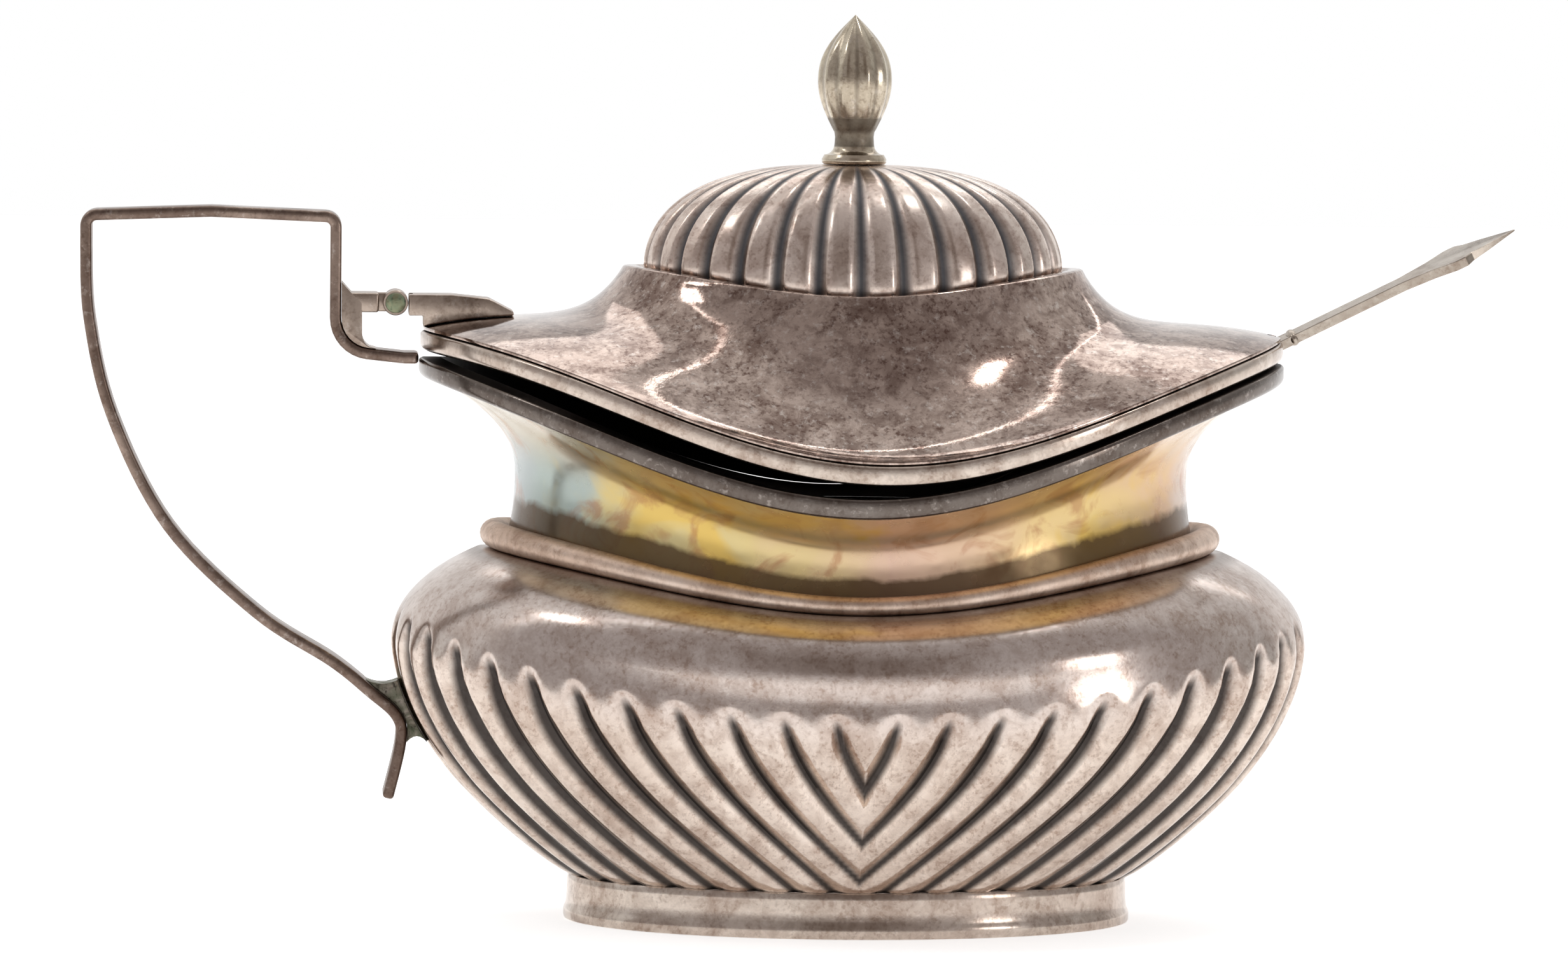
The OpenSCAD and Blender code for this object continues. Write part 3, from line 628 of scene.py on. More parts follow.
def plan_angle(t):
    """Angle from the front of t quarters, spaced evenly along the oval."""
    skew = (1 - OVAL) / (2 * (1 + OVAL))
    return math.pi / 2 * t - skew * np.sin(math.pi * t)


def reed_run(down):
    """How many reeds have run out on the middle line."""
    return (HEART + HEART_REEDS) * down**SWEEP


def reed_slide(place, down):
    """How many reeds a reed has moved towards the middle line; the outer ones start upright."""
    run = reed_run(down)
    swung = SWING * down**2 * (1.7 - 0.7 * down) - SWING_BACK
    return run + (swung - run) * ease(place / SETTLE)


def reed_place(column, down):
    """Quarters round from the front and reeds to the next groove, at a share of the way down."""
    quarter = column // QUARTER
    step = column % QUARTER
    outward = quarter % 2 == 0
    step = np.where(outward, step, QUARTER - step)
    in_heart = HEART * step / HEART_COLUMNS
    mark = np.where(step <= HEART_COLUMNS, in_heart, HEART + (step - HEART_COLUMNS) / REED_COLUMNS)
    run = reed_run(down)
    reach = np.maximum(mark - reed_slide(mark, down), mark / (1 + run))
    place = reach + run
    for _ in range(3):
        place = reach + reed_slide(place, down)
    share = reach / (SPAN - reed_slide(place, down))
    place = place - HEART
    near = np.where(place < 0, -place, np.abs(place - np.round(place)))
    return quarter + np.where(outward, share, 1 - share), near


print("reeds round the bowl:", 4 * REEDS + 2)

# %% Bowl
WALL = 0.9
INNER_FLOOR = 4.85
FLOOR_HALF = 20.0
SHELF_HALF = 27.7
downs = [1 - i / 36 * 0.86 for i in range(36)] + [0.14 - i / 14 * 0.14 for i in range(15)]
ups = [0.06, 0.14, 0.25, 0.37, 0.5, 0.62, 0.74, 0.85, 0.94, 1.0]
top_end = float(reed_top(1.0))
bowl_line = [(0.5, 0, BASE), (FLOOR_HALF, 0, BASE)]
plan = [("floor", 0.5), ("floor", FLOOR_HALF)]
for down in downs:
    z = top_end + (BASE - top_end) * down
    bowl_line.append((float(bowl_half(z)) + 0.5, 0, z))
    plan.append(("reed", down))
for up in ups:
    z = top_end + (SHOULDER - top_end) * up
    bowl_line.append((float(bowl_half(z)), 0, z))
    plan.append(("shoulder", up))
bowl_line += [(SHELF_HALF, 0, SHOULDER), (SHELF_HALF, 0, SHOULDER - WALL)]
plan += [("shelf", 0.0), ("shelf", WALL)]
for inner in (1.0, 0.85, 0.7, 0.55, 0.4, 0.25, 0.12, 0.04):
    z = INNER_FLOOR + (SHOULDER - WALL - INNER_FLOOR) * inner
    bowl_line.append((float(bowl_half(z)) - WALL, 0, z))
    plan.append(("inside", inner))
bowl_line += [(FLOOR_HALF, 0, INNER_FLOOR), (0.5, 0, INNER_FLOOR)]
plan += [("bottom", FLOOR_HALF), ("bottom", 0.5)]

bowl, row, turned = turn("bowl", bowl_line, 4 * QUARTER)
co = get_points(bowl)
darkness = np.zeros(len(co))
above = np.ones(len(co))
columns = (np.round(turned / (2 * math.pi) * 4 * QUARTER).astype(int) + QUARTER) % (4 * QUARTER)
even, _ = reed_place(columns, 0.0)
for i, (kind, value) in enumerate(plan):
    pick = row == i
    t = even[pick]
    if kind == "reed":
        t, near = reed_place(columns[pick], value)
    angle = plan_angle(t)
    u = np.sin(angle)
    out = 0
    if kind == "reed":
        top = reed_top(u)
        z = top + (BASE - top) * value
        fade = np.minimum(1, 0.45 + 0.55 * (z - BASE) / 8)
        half = bowl_half(z)
        wide = groove_width(top - z, u)
        in_reed = np.minimum(near, 0.5)
        groove = reed_groove(in_reed, wide)
        out = (swell(top - z) - GROOVE_DEPTH * ease((top - z) / 3.2) * groove) * fade
        # Painted shade: each reed darkens towards its grooves, more towards the ends of the oval.
        tint = (0.45 + 0.3 * u**2) * (1 - 2 * in_reed) ** 1.4
        # The groove's dark core is tarnish; its widening and darkening towards the ends of the oval is
        # painted shade.
        core = ease(1.1 + 0.3 * u**2 - 1.3 * near / wide)
        darkness[pick] = np.maximum(core, tint) * ease((top - z) / 2.0)
        above[pick] = 1 - ease((top - z + 0.5) / 6)
        height = lift(z, u)
    elif kind == "shoulder":
        top = reed_top(u)
        z = top + (SHOULDER - top) * value
        half = bowl_half(z)
        out = swell(top - z)
        # Painted shade: the shoulder darkens just under the bead.
        darkness[pick] = 0.6 * ease((value - 0.72) / 0.28)
        height = lift(z, u)
    elif kind == "shelf":
        half = SHELF_HALF
        height = lift(SHOULDER - value, u)
    elif kind == "inside":
        z = INNER_FLOOR + (SHOULDER - WALL - INNER_FLOOR) * value
        half = bowl_half(z) - WALL
        height = lift(z, u)
    else:
        half = value
        height = BASE if kind == "floor" else INNER_FLOOR
    co[pick, 0] = (half + out) * np.sin(angle)
    co[pick, 1] = -(OVAL * half + out) * np.cos(angle)
    co[pick, 2] = height
set_points(bowl, co)
keep_per_point(bowl, darkness)
keep_per_point(bowl, above, "upper")
close(bowl, 60)
stand_for(bowl, "bowl", "pot", reeded_silver)

# %% [markdown]
# ## Bead, neck and rim
# A round wire hides the joint between bowl and neck. The neck narrows to a waist and flares to the rim,
# where a flat wire with a rounded lower edge stiffens the sheet.

# %% Bead, neck and rim
SEAM = 0.05
BEAD_R = 1.15
NECK_HALF = 28.2
RIM_HALF = 36.3
WIRE_TALL = 1.65


def neck_out(z):
    if z < WAIST:
        return NECK_HALF + 0.8 * ((WAIST - z) / 6.4) ** 2
    return NECK_HALF + 6.7 * ((z - WAIST) / 7.8) ** 2.2


bead_z = SHOULDER + SEAM + BEAD_R
bead_half = neck_out(bead_z) + SEAM + BEAD_R
bead_rows = []
for i in range(20):
    a = 2 * math.pi * i / 20
    bead_rows.append((bead_half + BEAD_R * math.cos(a), at_level(bead_z + BEAD_R * math.sin(a))))
bead = oval("bead", bead_rows)
stand_for(bead, "shoulder_bead", "pot", bead_silver)

neck_levels = [SHOULDER + SEAM + (LIP - SHOULDER - SEAM) * i / 24 for i in range(25)]
neck_rows = [(neck_out(z), at_level(z)) for z in neck_levels]
neck_rows += [(neck_out(z) - WALL, at_level(z)) for z in reversed(neck_levels)]
# Per row: brown tarnish towards the foot, a painted reflection below zero towards the rim, and 2 on the
# inside for tarnish and painted shade.
neck_tarnish_and_painted_light = [float(ease((36.8 - z) / 2.6) - ease((z - 38.0) / 5.0)) for z in neck_levels]
neck = oval("neck", neck_rows, tarnish_and_painted_light=neck_tarnish_and_painted_light + [2.0] * 25)
stand_for(neck, "neck_band", "pot", gilded_silver)


def wire_rows(half, under, wide=1.9, low_r=0.7, top_r=0.3):
    """A flat wire, round at its lower outer edge and eased at the upper one."""
    rows = [(half - wide, under)]
    for i in range(7):
        a = math.pi / 2 * i / 6
        rows.append((half - low_r + low_r * math.sin(a), plus(under, low_r - low_r * math.cos(a))))
    for i in range(5):
        a = math.pi / 2 * i / 4
        z = WIRE_TALL - top_r + top_r * math.sin(a)
        rows.append((half - top_r + top_r * math.cos(a), plus(under, z)))
    rows.append((half - wide, plus(under, WIRE_TALL)))
    return rows


# Painted shade on the wire's top and inner faces, which lie in the dark gap between lid and rim.
wire_painted_shade = [1.0] + [0.0] * 10 + [0.5, 0.9, 1.0]
rim = oval("rim", wire_rows(RIM_HALF, plus(at_level(LIP), SEAM)), tarnish_and_painted_light=wire_painted_shade)
stand_for(rim, "rim_wire", "pot", shaded_rim_silver)

# %% [markdown]
# ## The glass liner
# The liner is a plain tapered cup with a thick floor and a fire-rounded lip. It only shows with the lid
# open.

# %% Liner
GLASS_LIP = 33.4
LIP_R = 1.1
liner_line = [(0.3, 4.9), (20.4, 4.9), (21.2, 5.1), (21.6, 5.7)]
for i in range(9):
    liner_line.append((21.6 + 5.0 * (i + 1) / 9, 5.7 + 27.7 * (i + 1) / 9))
for i in range(1, 8):
    a = math.pi * i / 8
    liner_line.append((25.5 + LIP_R * math.cos(a), GLASS_LIP + LIP_R * math.sin(a)))
for i in range(9):
    liner_line.append((24.4 - 5.0 * i / 8, GLASS_LIP - 25.0 * i / 8))
liner_line += [(18.6, 7.7), (17.0, 7.5), (0.3, 7.5)]
liner = oval("liner", [(half, level(z)) for half, z in liner_line], columns=128)
stand_for(liner, "glass_liner", "pot", blue_glass)

# %% [markdown]
# ## The lid's skirt and rim
# The lid sweeps up from its rim wire to a collar. At the front it rises as one long curve, and at the ends
# it lies almost flat before it turns up. The old lid no longer closes evenly: it stands off the rim towards
# the handle, which leaves the dark crescent in front. A notch at the spoon's end lets the stem through.

# %% Lid heights
SPOON_TILT = math.radians(26.3)
NOTCH_X = 34.4
SKIRT_HALF = 36.0
SKIRT_RUN = 16.8
LID_SHEET = 0.63
COLLAR = 54.9


def lid_foot(u):
    return rim_top(u) + 0.25 + 0.8 * (1 - u) ** 3 * (1.05 + u)


def collar_at(u):
    return COLLAR - 2.0 * (1 - boat(u))


def skirt_z(f, u):
    edge = lid_foot(u) + WIRE_TALL + SEAM + 0.35
    front = f**1.5
    end = f**6 + 0.7 * f * (1 - f)
    return edge + (collar_at(u) - edge) * (front + (end - front) * boat(u))


def skirt_rule(f, more=0.0):
    return lambda u: skirt_z(f, u) + more


def skirt_half(f):
    return SKIRT_HALF - SKIRT_RUN * f


def notch(piece):
    """Cuts the spoon's slanting notch, which is open below, out of a piece of the lid."""
    cutter = add(bpy.ops.mesh.primitive_cube_add, "cutter", size=1)
    cutter.data.transform(Matrix.Diagonal((15.2 * MM, 3.4 * MM, 5.6 * MM, 1)))
    move_by(cutter, 0, 0, -0.75)
    cutter.data.transform(Matrix.Rotation(-SPOON_TILT, 4, "Y"))
    move_by(cutter, NOTCH_X, 0, RIM)
    cut_out(piece, cutter)


print("lid stands off the rim by", round(float(lid_foot(-1.0) - rim_top(-1.0)), 2), "mm at the hinge")

# %% Skirt and lid rim
# The lid's wire gets the same painted shade on its top and inner faces.
lid_rim = oval("lid_rim", wire_rows(RIM_HALF - 0.1, lid_foot), tarnish_and_painted_light=wire_painted_shade)
notch(lid_rim)
stand_for(lid_rim, "lid_rim_wire", "lid", silver)

wire_top = plus(lid_foot, WIRE_TALL + SEAM)
skirt_rows = [(34.6, wire_top), (SKIRT_HALF - 0.2, wire_top)]
skirt_rows += [(SKIRT_HALF - 0.03, plus(wire_top, 0.1)), (SKIRT_HALF, plus(wire_top, 0.22))]
steps = [i / 40 for i in range(41)]
skirt_rows += [(skirt_half(f) - (0.03 if f == 0 else 0), skirt_rule(f)) for f in steps[:-1]]
skirt_rows += [(19.3, plus(collar_at, -0.12)), (19.12, plus(collar_at, -0.03)), (18.9, collar_at)]
skirt_rows += [(18.4, collar_at), (18.2, plus(collar_at, -0.08)), (17.85, plus(collar_at, -0.6))]
skirt_rows += [(16.2, plus(collar_at, -0.6)), (16.2, plus(collar_at, -1.23))]
skirt_rows += [(skirt_half(f) - LID_SHEET, skirt_rule(f, -LID_SHEET)) for f in steps[36:3:-3]]
skirt = oval("skirt", skirt_rows)
notch(skirt)
stand_for(skirt, "lid_skirt", "lid", lid_silver)

# %% [markdown]
# ## The reeded dome
# Thirty reeds run from the collar to the finial and grow narrower on the way. They end in round tips on
# the collar. The dome is turned like the bowl, and its grooves are pressed in afterwards.

# %% Dome
DOME_BASE = 54.35
DOME_H = 9.1
DOME_R = 17.6
DOME_TOP = 63.41
DOME_REEDS = 30


def dome_half(rise):
    return DOME_R * (1 - (rise / DOME_H) ** 2.2) ** (1 / 2.8)


rises = [DOME_H * math.sin(math.pi / 2 * i / 26) for i in range(26)]
rises = [r for r in rises if dome_half(r) > 3.2]
dome_line = [(dome_half(r), 0, DOME_BASE + r) for r in rises]
dome_line += [(3.2, 0, DOME_TOP), (1.2, 0, DOME_TOP), (1.2, 0, 62.5), (2.75, 0, 62.5)]
inner_rises = [7.28, 6.2, 5.0, 3.5, 2.275, 1.1, 0.0]
dome_line += [(dome_half(r) - 1.9, 0, DOME_BASE + max(0, r - WALL)) for r in inner_rises]
dome_line.append(dome_line[0])
dome, row, turned = turn("dome", dome_line, 360)
co = get_points(dome)
u = np.cos(turned)
drawn = np.array(dome_line)[row]
reed = turned / (2 * math.pi) * DOME_REEDS + 0.5
near = np.abs(reed - np.round(reed))
groove = groove_of(near, 0.3)
outer = row < len(rises)
rise = drawn[:, 2] - DOME_BASE
tip = np.clip(rise / 0.9, 0, 1)
press = np.where(outer, 0.7 * drawn[:, 0] / DOME_R * groove, 0)
press = press + np.where(outer, 0.25 * (1 - np.sqrt(1 - (1 - tip) ** 2)), 0)
shift = np.where(drawn[:, 0] > 3.3, 2.0 * (1 - boat(u)) * (1 - rise / DOME_H), 0)
co[:, 0] = (drawn[:, 0] - press) * np.cos(turned)
co[:, 1] = (OVAL * drawn[:, 0] - press) * np.sin(turned)
co[:, 2] = drawn[:, 2] - shift
darkness = np.where(outer, groove * np.clip(drawn[:, 0] / 8, 0.3, 1), 0)
set_points(dome, co)
keep_per_point(dome, darkness)
close(dome, 60)
stand_for(dome, "lid_dome", "lid", dome_silver)

# %% [markdown]
# ## The finial
# The bud is cast with its stem and foot, and a stud on it goes through the dome into a nut. Shallow lobes
# run up the bud and meet at its tip.

# %% Finial and nut
FINIAL = 63.46
BUD = FINIAL + 2.9
BUD_TALL = 9.6
BUD_LOBES = 10
NUT_TALL = 1.4
finial_line = [(0.02, 0, 60.66), (0.85, 0, 60.66), (1.0, 0, 60.81), (1.0, 0, FINIAL), (2.55, 0, FINIAL)]
finial_line += [(2.7, 0, FINIAL + 0.15), (2.7, 0, FINIAL + 0.45), (2.6, 0, FINIAL + 0.62)]
for i in range(8):
    a = math.pi / 2 * i / 7
    finial_line.append((2.5 - 0.85 * math.sin(a), 0, FINIAL + 0.8 + 0.95 * (1 - math.cos(a))))
finial_line += [(1.62, 0, FINIAL + 2.3), (1.68, 0, FINIAL + 2.7)]
stem_rows = len(finial_line)


def bud_at(v):
    if v < 0.42:
        return 1.8 + 1.3 * math.sin(math.pi / 2 * v / 0.42)
    return 3.1 * math.cos(math.pi / 2 * ((v - 0.42) / 0.58) ** 1.2)


buds = [i / 32 for i in range(33)]
finial_line += [(max(0.02, bud_at(v)), 0, BUD + BUD_TALL * v) for v in buds]
finial, row, turned = turn("finial", finial_line, 192)
co = get_points(finial)
drawn = np.array(finial_line)[row]
lobe = turned / (2 * math.pi) * BUD_LOBES + 0.5
near = np.abs(lobe - np.round(lobe))
up = np.clip((row - stem_rows) / 32, 0, 1)
press = 0.08 * np.sin(math.pi * up) ** 0.5 * groove_of(near, 0.5)
co[:, 0] = drawn[:, 0] * (1 - press) * np.cos(turned)
co[:, 1] = drawn[:, 0] * (1 - press) * np.sin(turned)
darkness = np.where(row >= stem_rows, 0.5 * groove_of(near, 0.3), 0)
darkness = np.where((row >= stem_rows - 4) & (up < 0.12), 0.75, darkness)
set_points(finial, co)
keep_per_point(finial, darkness)
close(finial, 50)
stand_for(finial, "finial", "lid", finial_silver)

nut = add(bpy.ops.mesh.primitive_cylinder_add, "nut", vertices=6, radius=2.2 * MM, depth=NUT_TALL * MM)
edit_all()
bpy.ops.mesh.bevel(offset=0.12 * MM, segments=2)
leave_edit()
move_by(nut, 0, 0, DOME_TOP - WALL - SEAM - NUT_TALL / 2)
close(nut, 30)
stand_for(nut, "finial_nut", "lid", dark_silver)

# %% [markdown]
# ## The handle
# The handle is one flat strap, bent in two tight corners at the top and swept down to the bowl, where its
# tail stands free. Its side view is drawn as a line, pulled out to the strap's width, and a Solidify and a
# Bevel modifier give it thickness and soft edges.

# %% Strap
STRAP = 0.95
STRAP_WIDE = 5.0
SOLDER = 0.8


def corner_arc(start, corner, end, r, steps=8):
    """Points of a round corner."""
    a = (Vector(start) - Vector(corner)).normalized()
    b = (Vector(end) - Vector(corner)).normalized()
    half = a.angle(b) / 2
    centre = Vector(corner) + (a + b).normalized() * r / math.sin(half)
    first = Vector(corner) + a * r / math.tan(half) - centre
    last = Vector(corner) + b * r / math.tan(half) - centre
    begin = math.atan2(first.y, first.x)
    swing = (math.atan2(last.y, last.x) - begin + 3 * math.pi) % (2 * math.pi) - math.pi
    angles = [begin + swing * i / steps for i in range(steps + 1)]
    return [(centre.x + r * math.cos(t), centre.y + r * math.sin(t)) for t in angles]


def smooth_curve(knots, steps):
    """Points of a Catmull-Rom curve through the knots."""
    points = []
    for i in range(len(knots) - 1):
        a, b, c, d = (Vector(knots[max(0, min(len(knots) - 1, i + k))]) for k in (-1, 0, 1, 2))
        for s in range(steps):
            t = s / steps
            p = 2 * b + (c - a) * t + (2 * a - 5 * b + 4 * c - d) * t**2 + (3 * b - a - 3 * c + d) * t**3
            points.append((p.x / 2, p.y / 2))
    return points + [tuple(knots[-1])]


def end_half(z):
    """How far the reeds stand out at the ends."""
    rise = math.sqrt(1 - (1 - min(1, max(0, reed_top(1.0) - z) / 1.6)) ** 2)
    return float(bowl_half(z)) + rise * min(1, 0.45 + 0.55 * (z - BASE) / 8)


upright, bar, corner_x, touch_z = -43.3, 58.7, -64.1, 17.0
touch_x = -(end_half(touch_z) + SOLDER + STRAP / 2)
shares = [(0, 0.062), (0.012, 0.206), (0.086, 0.4), (0.267, 0.621), (0.55, 0.794)]
knots = [(corner_x + (touch_x - corner_x) * a, bar + (touch_z - bar) * b) for a, b in shares]
for drop, solder_gap in ((0.89, 5.83), (0.951, 2.72), (1.0, 1.0)):
    z = bar + (touch_z - bar) * drop
    knots.append((-(end_half(z) + SOLDER * solder_gap + STRAP / 2), z))
knots += [(touch_x + 0.33, touch_z - 2.2), (touch_x - 0.73, touch_z - 6.9)]
sweep = smooth_curve(knots, 8)
begin, arch = (-36.35, 47.0), ((upright + corner_x) / 2, bar + 0.4)
ease_in, bend = (-37.55, 47.0), (upright, 47.6)
bend_arc = corner_arc(ease_in, bend, (upright, bar), 3.0)
path = [begin, ease_in] + bend_arc
path += corner_arc(bend, (upright, bar), arch, 0.9) + [arch]
path += corner_arc(arch, (corner_x, bar), knots[0], 0.9) + sweep
strap = draw("strap", [(x, -STRAP_WIDE / 2, z) for x, z in path])
pull_out((0, STRAP_WIDE, 0), fill=False)
thick = strap.modifiers.new("thickness", "SOLIDIFY")
thick.thickness = STRAP * MM
thick.offset = 0
bpy.ops.object.modifier_apply(modifier="thickness")
soften(strap, 0.3)
close(strap, 40)
stand_for(strap, "handle_strap", "pot", dark_silver)

# %% [markdown]
# ## The solder
# A fillet of solder fills the wedge between the strap and the bowl. Its side view is filled as one face,
# pulled out sideways and rounded.

# %% Solder pad


def plate(name, outline, wide, soft_edge):
    """A side view, filled and pulled out to a width, with its edges rounded."""
    piece = draw(name, [(x, -wide / 2, z) for x, z in outline])
    pull_out((0, wide, 0))
    soften(piece, soft_edge)
    return close(piece, 40)


def beside(line, off):
    """A line at a distance to the left of another."""
    points = []
    for i, point in enumerate(line):
        along = Vector(line[min(i + 1, len(line) - 1)]) - Vector(line[max(0, i - 1)])
        points.append(Vector(point) + Vector((-along.y, along.x)).normalized() * off)
    return points


def hollow(start, end, depth):
    """The points between two ends of a hollow edge."""
    gap = end - start
    shares = [i / 6 for i in range(1, 6)]
    return [start + gap * s + Vector((0, 4 * depth * s * (1 - s) * gap.length)) for s in shares]


face = beside(sweep, STRAP / 2 + 0.02)[46:65]
back = [Vector((-(end_half(p.y) + 0.02), p.y)) for p in reversed(face)]
outline = face + hollow(face[-1], back[0], 0.3) + back + hollow(back[-1], face[0], -0.12)
pad = plate("solder_pad", [tuple(p) for p in outline], 3.0, 0.1)
stand_for(pad, "handle_pad", "pot", solder)

# %% [markdown]
# ## The hinge
# The lug on the handle carries the middle knuckle, the leaf on the lid carries the two outer ones, and a
# riveted pin joins them.

# %% Hinge
PIN = (-38.3, 51.6)


def along_pin(name, profile, columns=48):
    """Turns a profile of (distance along the pin, radius) round the pin's axis."""
    piece = turn(name, [(r, 0, y) for y, r in profile], columns)[0]
    co = get_points(piece)
    set_points(piece, np.column_stack([co[:, 0] + PIN[0], co[:, 2], co[:, 1] + PIN[1]]))
    return close(piece)


def bar_box(name, low, high, soft_edge):
    """A block between two corners with rounded edges."""
    piece = add(bpy.ops.mesh.primitive_cube_add, name, size=1)
    piece.data.transform(Matrix.Diagonal([(b - a) * MM for a, b in zip(low, high)] + [1]))
    move_by(piece, *[(a + b) / 2 for a, b in zip(low, high)])
    edit_all()
    bpy.ops.mesh.bevel(offset=soft_edge * MM, segments=3)
    leave_edit()
    return piece


def join(name, parts):
    deselect()
    for part in parts:
        part.select_set(True)
    bpy.context.view_layer.objects.active = parts[0]
    bpy.ops.object.join()
    parts[0].name = name
    return parts[0]


foot_of_web = Vector(bend) + (Vector(ease_in) - Vector(bend)).normalized() * 3.4
web_seat = beside([foot_of_web] + bend_arc + [(upright, 53.3)], -STRAP / 2 - 0.03)
web_line = [tuple(p) for p in web_seat] + [(upright + 1.32, 52.4), (upright + 2.2, 51.6)]
for i in range(5):
    a = math.pi + math.pi / 12 * i
    web_line.append((web_seat[0].x + 1.2 * math.cos(a), web_seat[0].y + 1.2 + 1.2 * math.sin(a)))
web = plate("web", web_line, STRAP_WIDE, 0.12)
lug_bar = bar_box("lug_bar", (-42.75, -2.49, 50.8), (-39.7, 2.49, 52.4), 0.2)
lug_tongue = bar_box("lug_tongue", (-40.2, -0.95, 50.82), (-38.9, 0.95, 52.38), 0.12)
eye_end = [(-0.95, 0.63), (-0.95, 1.0), (-0.9, 1.05)]
lug_eye = along_pin("lug_eye", eye_end + [(-y, r) for y, r in reversed(eye_end)])
lug = join("lug", [lug_bar, lug_tongue, lug_eye, web])
bpy.ops.object.shade_smooth_by_angle(angle=math.radians(40))
stand_for(lug, "hinge_lug", "pot", hinge_silver)

head = [(-2.95, 0.02), (-2.94, 0.3), (-2.88, 0.6), (-2.75, 0.8), (-2.6, 0.85), (-2.55, 0.84), (-2.55, 0.6)]
pin = along_pin("pin", head + [(-y, r) for y, r in reversed(head)])
stand_for(pin, "hinge_pin", "pot", pin_brass)

tubes = []
for side in (-1, 1):
    ends = [(1.0, 0.65), (1.0, 1.0), (1.06, 1.05), (2.39, 1.05), (2.45, 1.0), (2.45, 0.65), (1.0, 0.65)]
    tubes.append(along_pin("tube", [(side * y, r) for y, r in ends]))
knuckles = join("knuckles", tubes)
stand_for(knuckles, "lid_knuckles", "lid", hinge_silver)

seat = [(-skirt_half(f), float(skirt_z(f, -1.0)) + SEAM) for f in (0, 0.15, 0.3, 0.45)]
leaf_near = PIN[0] + 1.1
leaf_line = [(leaf_near, 52.3), (leaf_near, 50.55), (seat[0][0], 50.55)] + seat
leaf_line += [(seat[-1][0], seat[-1][1] + 0.3), (-30.5, 52.0), (-33.6, 52.3)]
leaf = plate("leaf", leaf_line, STRAP_WIDE, 0.12)
cut_out(leaf, bar_box("gap", (leaf_near - 1, -1.0, 47), (leaf_near + 0.35, 1.0, 56), 0.01))
close(leaf, 40)
stand_for(leaf, "hinge_leaf", "lid", hinge_silver)

# %% [markdown]
# ## The spoon
# The stem is cut from sheet, with chamfered edges that catch the light, a pair of shoulders and a pointed
# end. Its bowl starts as a sphere, cut in half and hollowed.

# %% Spoon
SPOON_ROLL = math.radians(9)
STEM = 0.8
stem_up = 0.25 + STEM / 2 * math.cos(SPOON_ROLL) + math.sin(SPOON_ROLL)
spoon_x = NOTCH_X - stem_up * math.sin(SPOON_TILT)
spoon_z = RIM + stem_up * math.cos(SPOON_TILT)
slope = 5.0 / 29.6
reach = (spoon_x + 19.4 + slope * (spoon_z - 4.9)) / (math.cos(SPOON_TILT) + slope * math.sin(SPOON_TILT))
spoon_in = reach - 0.625
root = -(spoon_in - 19 + 1.2)
side = [(root, 0.9), (0, 1.0), (13.7, 1.0), (16.4, 1.7), (18.1, 2.55), (18.6, 2.6), (19.2, 2.6)]
side += [(19.6, 2.2), (19.9, 1.9), (21.5, 1.35), (24.2, 0.06)]
outline = [(x, y, -STEM / 2) for x, y in side] + [(x, -y, -STEM / 2) for x, y in reversed(side)]
stem = draw("stem", outline)
pull_out((0, 0, STEM))
soften(stem, 0.26, 1, 60)
co = get_points(stem)
co[:, 2] *= 1 - 0.85 * np.clip((co[:, 0] - 19.4) / 4.8, 0, 1)
set_points(stem, co)
scoop = add(bpy.ops.mesh.primitive_uv_sphere_add, "scoop", segments=64, ring_count=32, radius=MM)
edit_all()
bpy.ops.mesh.bisect(plane_co=(0, 0, 0), plane_no=(0, 0, 1), clear_outer=True)
leave_edit()
scoop.data.transform(Matrix.Diagonal((9.4, 6.4, 3.9, 1)))
wall = scoop.modifiers.new("wall", "SOLIDIFY")
wall.thickness = 0.7 * MM
wall.offset = -1
bpy.ops.object.modifier_apply(modifier="wall")
move_by(scoop, -(spoon_in - 9.5), 0, STEM / 2)
knop = add(bpy.ops.mesh.primitive_uv_sphere_add, "knop", segments=32, ring_count=16, radius=MM)
knop.data.transform(Matrix.Diagonal((0.55, 1.2, 0.7, 1)))
move_by(knop, 3.4, 0, 0)
spoon = join("spoon_piece", [stem, scoop, knop])
spoon.data.transform(Matrix.Rotation(SPOON_ROLL, 4, "X"))
spoon.data.transform(Matrix.Rotation(-SPOON_TILT, 4, "Y"))
move_by(spoon, spoon_x, 0, spoon_z)
bpy.ops.object.shade_smooth_by_angle(angle=math.radians(25))
stand_for(spoon, "spoon", "spoon", spoon_silver)

# %% [markdown]
# ## Floor, world and lamps
# The pot stands in a white light tent that is open to the front. The camera sees white all round. The
# metal sees the white wall behind, the tent's bright sides and roof, and a greyer room in front with a
# darker middle. A bright seam across the roof draws a thin line on the lid.

# %% Floor
floor = add(bpy.ops.mesh.primitive_plane_add, "floor", size=4.0)
paper, tree, shader = start_finish("paper")
shader.inputs["Base Color"].default_value = (0.86, 0.86, 0.86, 1)
shader.inputs["Roughness"].default_value = 0.9
shader.inputs["Specular IOR Level"].default_value = 0.0
rays = put(tree, "LightPath")
seen = math_node(tree, "ADD", rays.outputs["Is Camera Ray"], rays.outputs["Is Glossy Ray"], clamp=True)
seen = math_node(tree, "MAXIMUM", seen, rays.outputs["Is Transmission Ray"])
shader.inputs["Emission Color"].default_value = (1, 1, 1, 1)
tree.links.new(times(tree, seen, 0.66), shader.inputs["Emission Strength"])
floor.data.materials.append(paper)

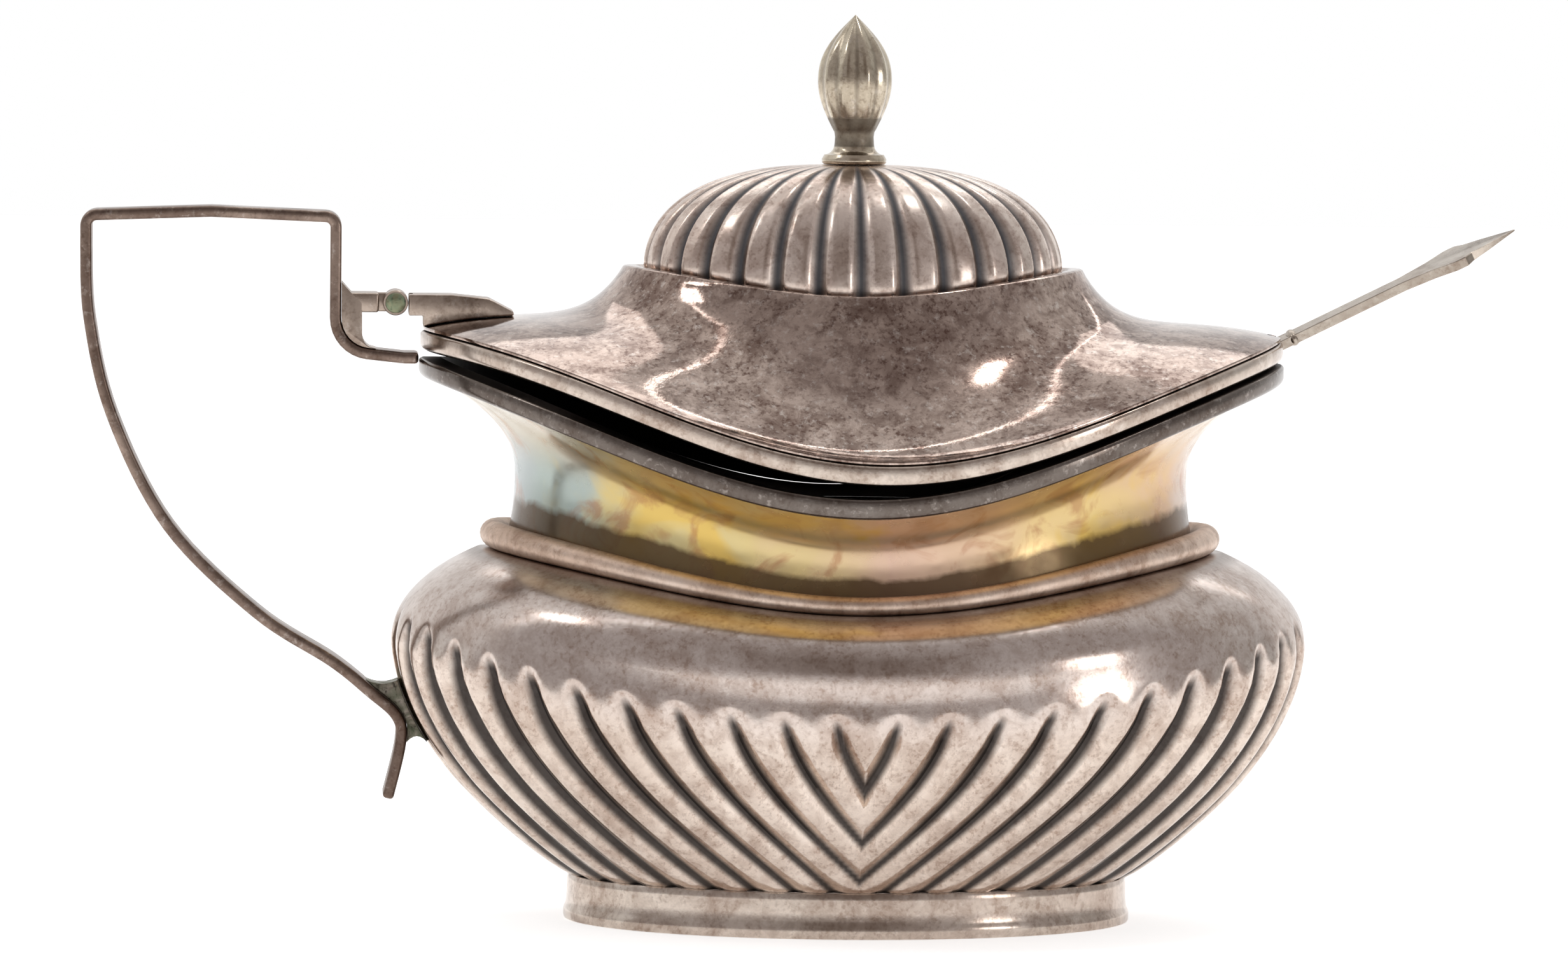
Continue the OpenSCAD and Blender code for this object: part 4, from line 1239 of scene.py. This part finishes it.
# %% World
world = bpy.data.worlds.new("light_tent")
bpy.context.scene.world = world
world.use_nodes = True
tree = world.node_tree
backdrop = tree.nodes["Background"]
look = put(tree, "TexCoord").outputs["Generated"]
axes = put(tree, "SeparateXYZ", {"Vector": look})
to_right, to_back, to_top = (axes.outputs[axis] for axis in "XYZ")
aside = math_node(tree, "ABSOLUTE", to_right)
rise = spread(tree, to_top, 0.0, 1.0)
walls = ramp(tree, rise, [(0.0, 0.62), (0.4, 0.85), (1.0, 0.80)])
walls = blend(tree, spread(tree, to_right, 0.3, 0.9, 1.0, 0.7), (0, 0, 0), walls)
front = spread(tree, to_back, 0.05, -0.22)
across = spread(tree, aside, 0.40, 0.15)
below = spread(tree, to_top, 0.98, 0.60)
over = spread(tree, to_top, -0.05, 0.15)
dark_middle = across
for share in (below, front, over):
    dark_middle = times(tree, dark_middle, share)
seam_at = spread(tree, to_right, -0.3, 0.3, -0.08, 0.64)
edge = spread(tree, math_node(tree, "SUBTRACT", seam_at, to_back), -0.1, 0.1)
seam = ramp(tree, edge, [(0.44, 0.0), (0.47, 1.0), (0.53, 1.0), (0.56, 0.0)])
seam = times(tree, seam, ramp(tree, rise, [(0.4, 0.0), (0.55, 1.0)]))
tent = blend(tree, front, walls, (180, 176, 176))
tent = blend(tree, dark_middle, tent, (134, 125, 121))
tent = blend(tree, seam, tent, [5.0, 5.0, 5.0, 1], "ADD")
rays = put(tree, "LightPath")
clear = put(tree, "Background", {"Color": (1, 1, 1, 1), "Strength": 1.0})
tree.links.new(tent, backdrop.inputs["Color"])
backdrop.inputs["Strength"].default_value = 1.0
paper_wall = times(tree, spread(tree, to_back, 0.4, 0.7), spread(tree, to_top, 0.5, 0.3))
seen = math_node(tree, "MAXIMUM", rays.outputs["Is Glossy Ray"], rays.outputs["Is Transmission Ray"])
seen = math_node(tree, "MAXIMUM", times(tree, seen, paper_wall), rays.outputs["Is Camera Ray"])
both = put(tree, "MixShader", {0: seen, 1: backdrop.outputs[0], 2: clear.outputs[0]})
tree.links.new(both.outputs[0], tree.nodes["World Output"].inputs["Surface"])
print("tent ready")

# %% Lamps


def soft_box(name, place, target, size, watts):
    """A rectangular lamp that looks at a point."""
    lamp = bpy.data.lights.new(name, "AREA")
    lamp.shape = "RECTANGLE"
    lamp.size, lamp.size_y = size
    lamp.energy = watts
    holder = bpy.data.objects.new(name, lamp)
    bpy.context.scene.collection.objects.link(holder)
    holder.location = place
    holder.rotation_euler = (Vector(target) - Vector(place)).to_track_quat("-Z", "Y").to_euler()


middle = (0, 0, 0.035)
soft_box("left_box", (-0.46, -0.09, 0.61), middle, (0.12, 0.12), 0.22)
soft_box("right_box", (0.18, 0.03, 0.74), middle, (0.07, 0.07), 0.3)
soft_box("low_box", (0.54, -0.48, 0.12), middle, (0.13, 0.13), 0.3)
soft_box("back_box", (0.0, 0.5, 0.6), middle, (0.6, 0.3), 0.6)

# %% [markdown]
# ## The camera
# The photograph was taken with a long lens from a little above the rim. Its whole frame is 131.6 mm wide
# in the plane of the pot's long axis.

# %% Camera
FRAME_W = 131.6 * MM
DISTANCE = 0.75
camera = bpy.data.cameras.new("camera")
camera.sensor_width = 36
camera.lens = 36 * DISTANCE / FRAME_W
camera.clip_start = 0.01
eye = bpy.data.objects.new("camera", camera)
bpy.context.scene.collection.objects.link(eye)
aim = Vector((-5.6, 0, 37.2)) * MM
tilt = math.radians(3.3)
swing = math.radians(-3)
eye.location = aim + DISTANCE * Vector(
    (math.sin(swing) * math.cos(tilt), -math.cos(swing) * math.cos(tilt), math.sin(tilt))
)
level_view = (aim - eye.location).to_track_quat("-Z", "Y")
roll = Quaternion((0, 0, 1), math.radians(0.6))
eye.rotation_euler = (level_view @ roll).to_euler()
bpy.context.scene.camera = eye
bpy.context.scene.view_settings.view_transform = "Standard"
print("lens:", round(camera.lens, 1), "mm")
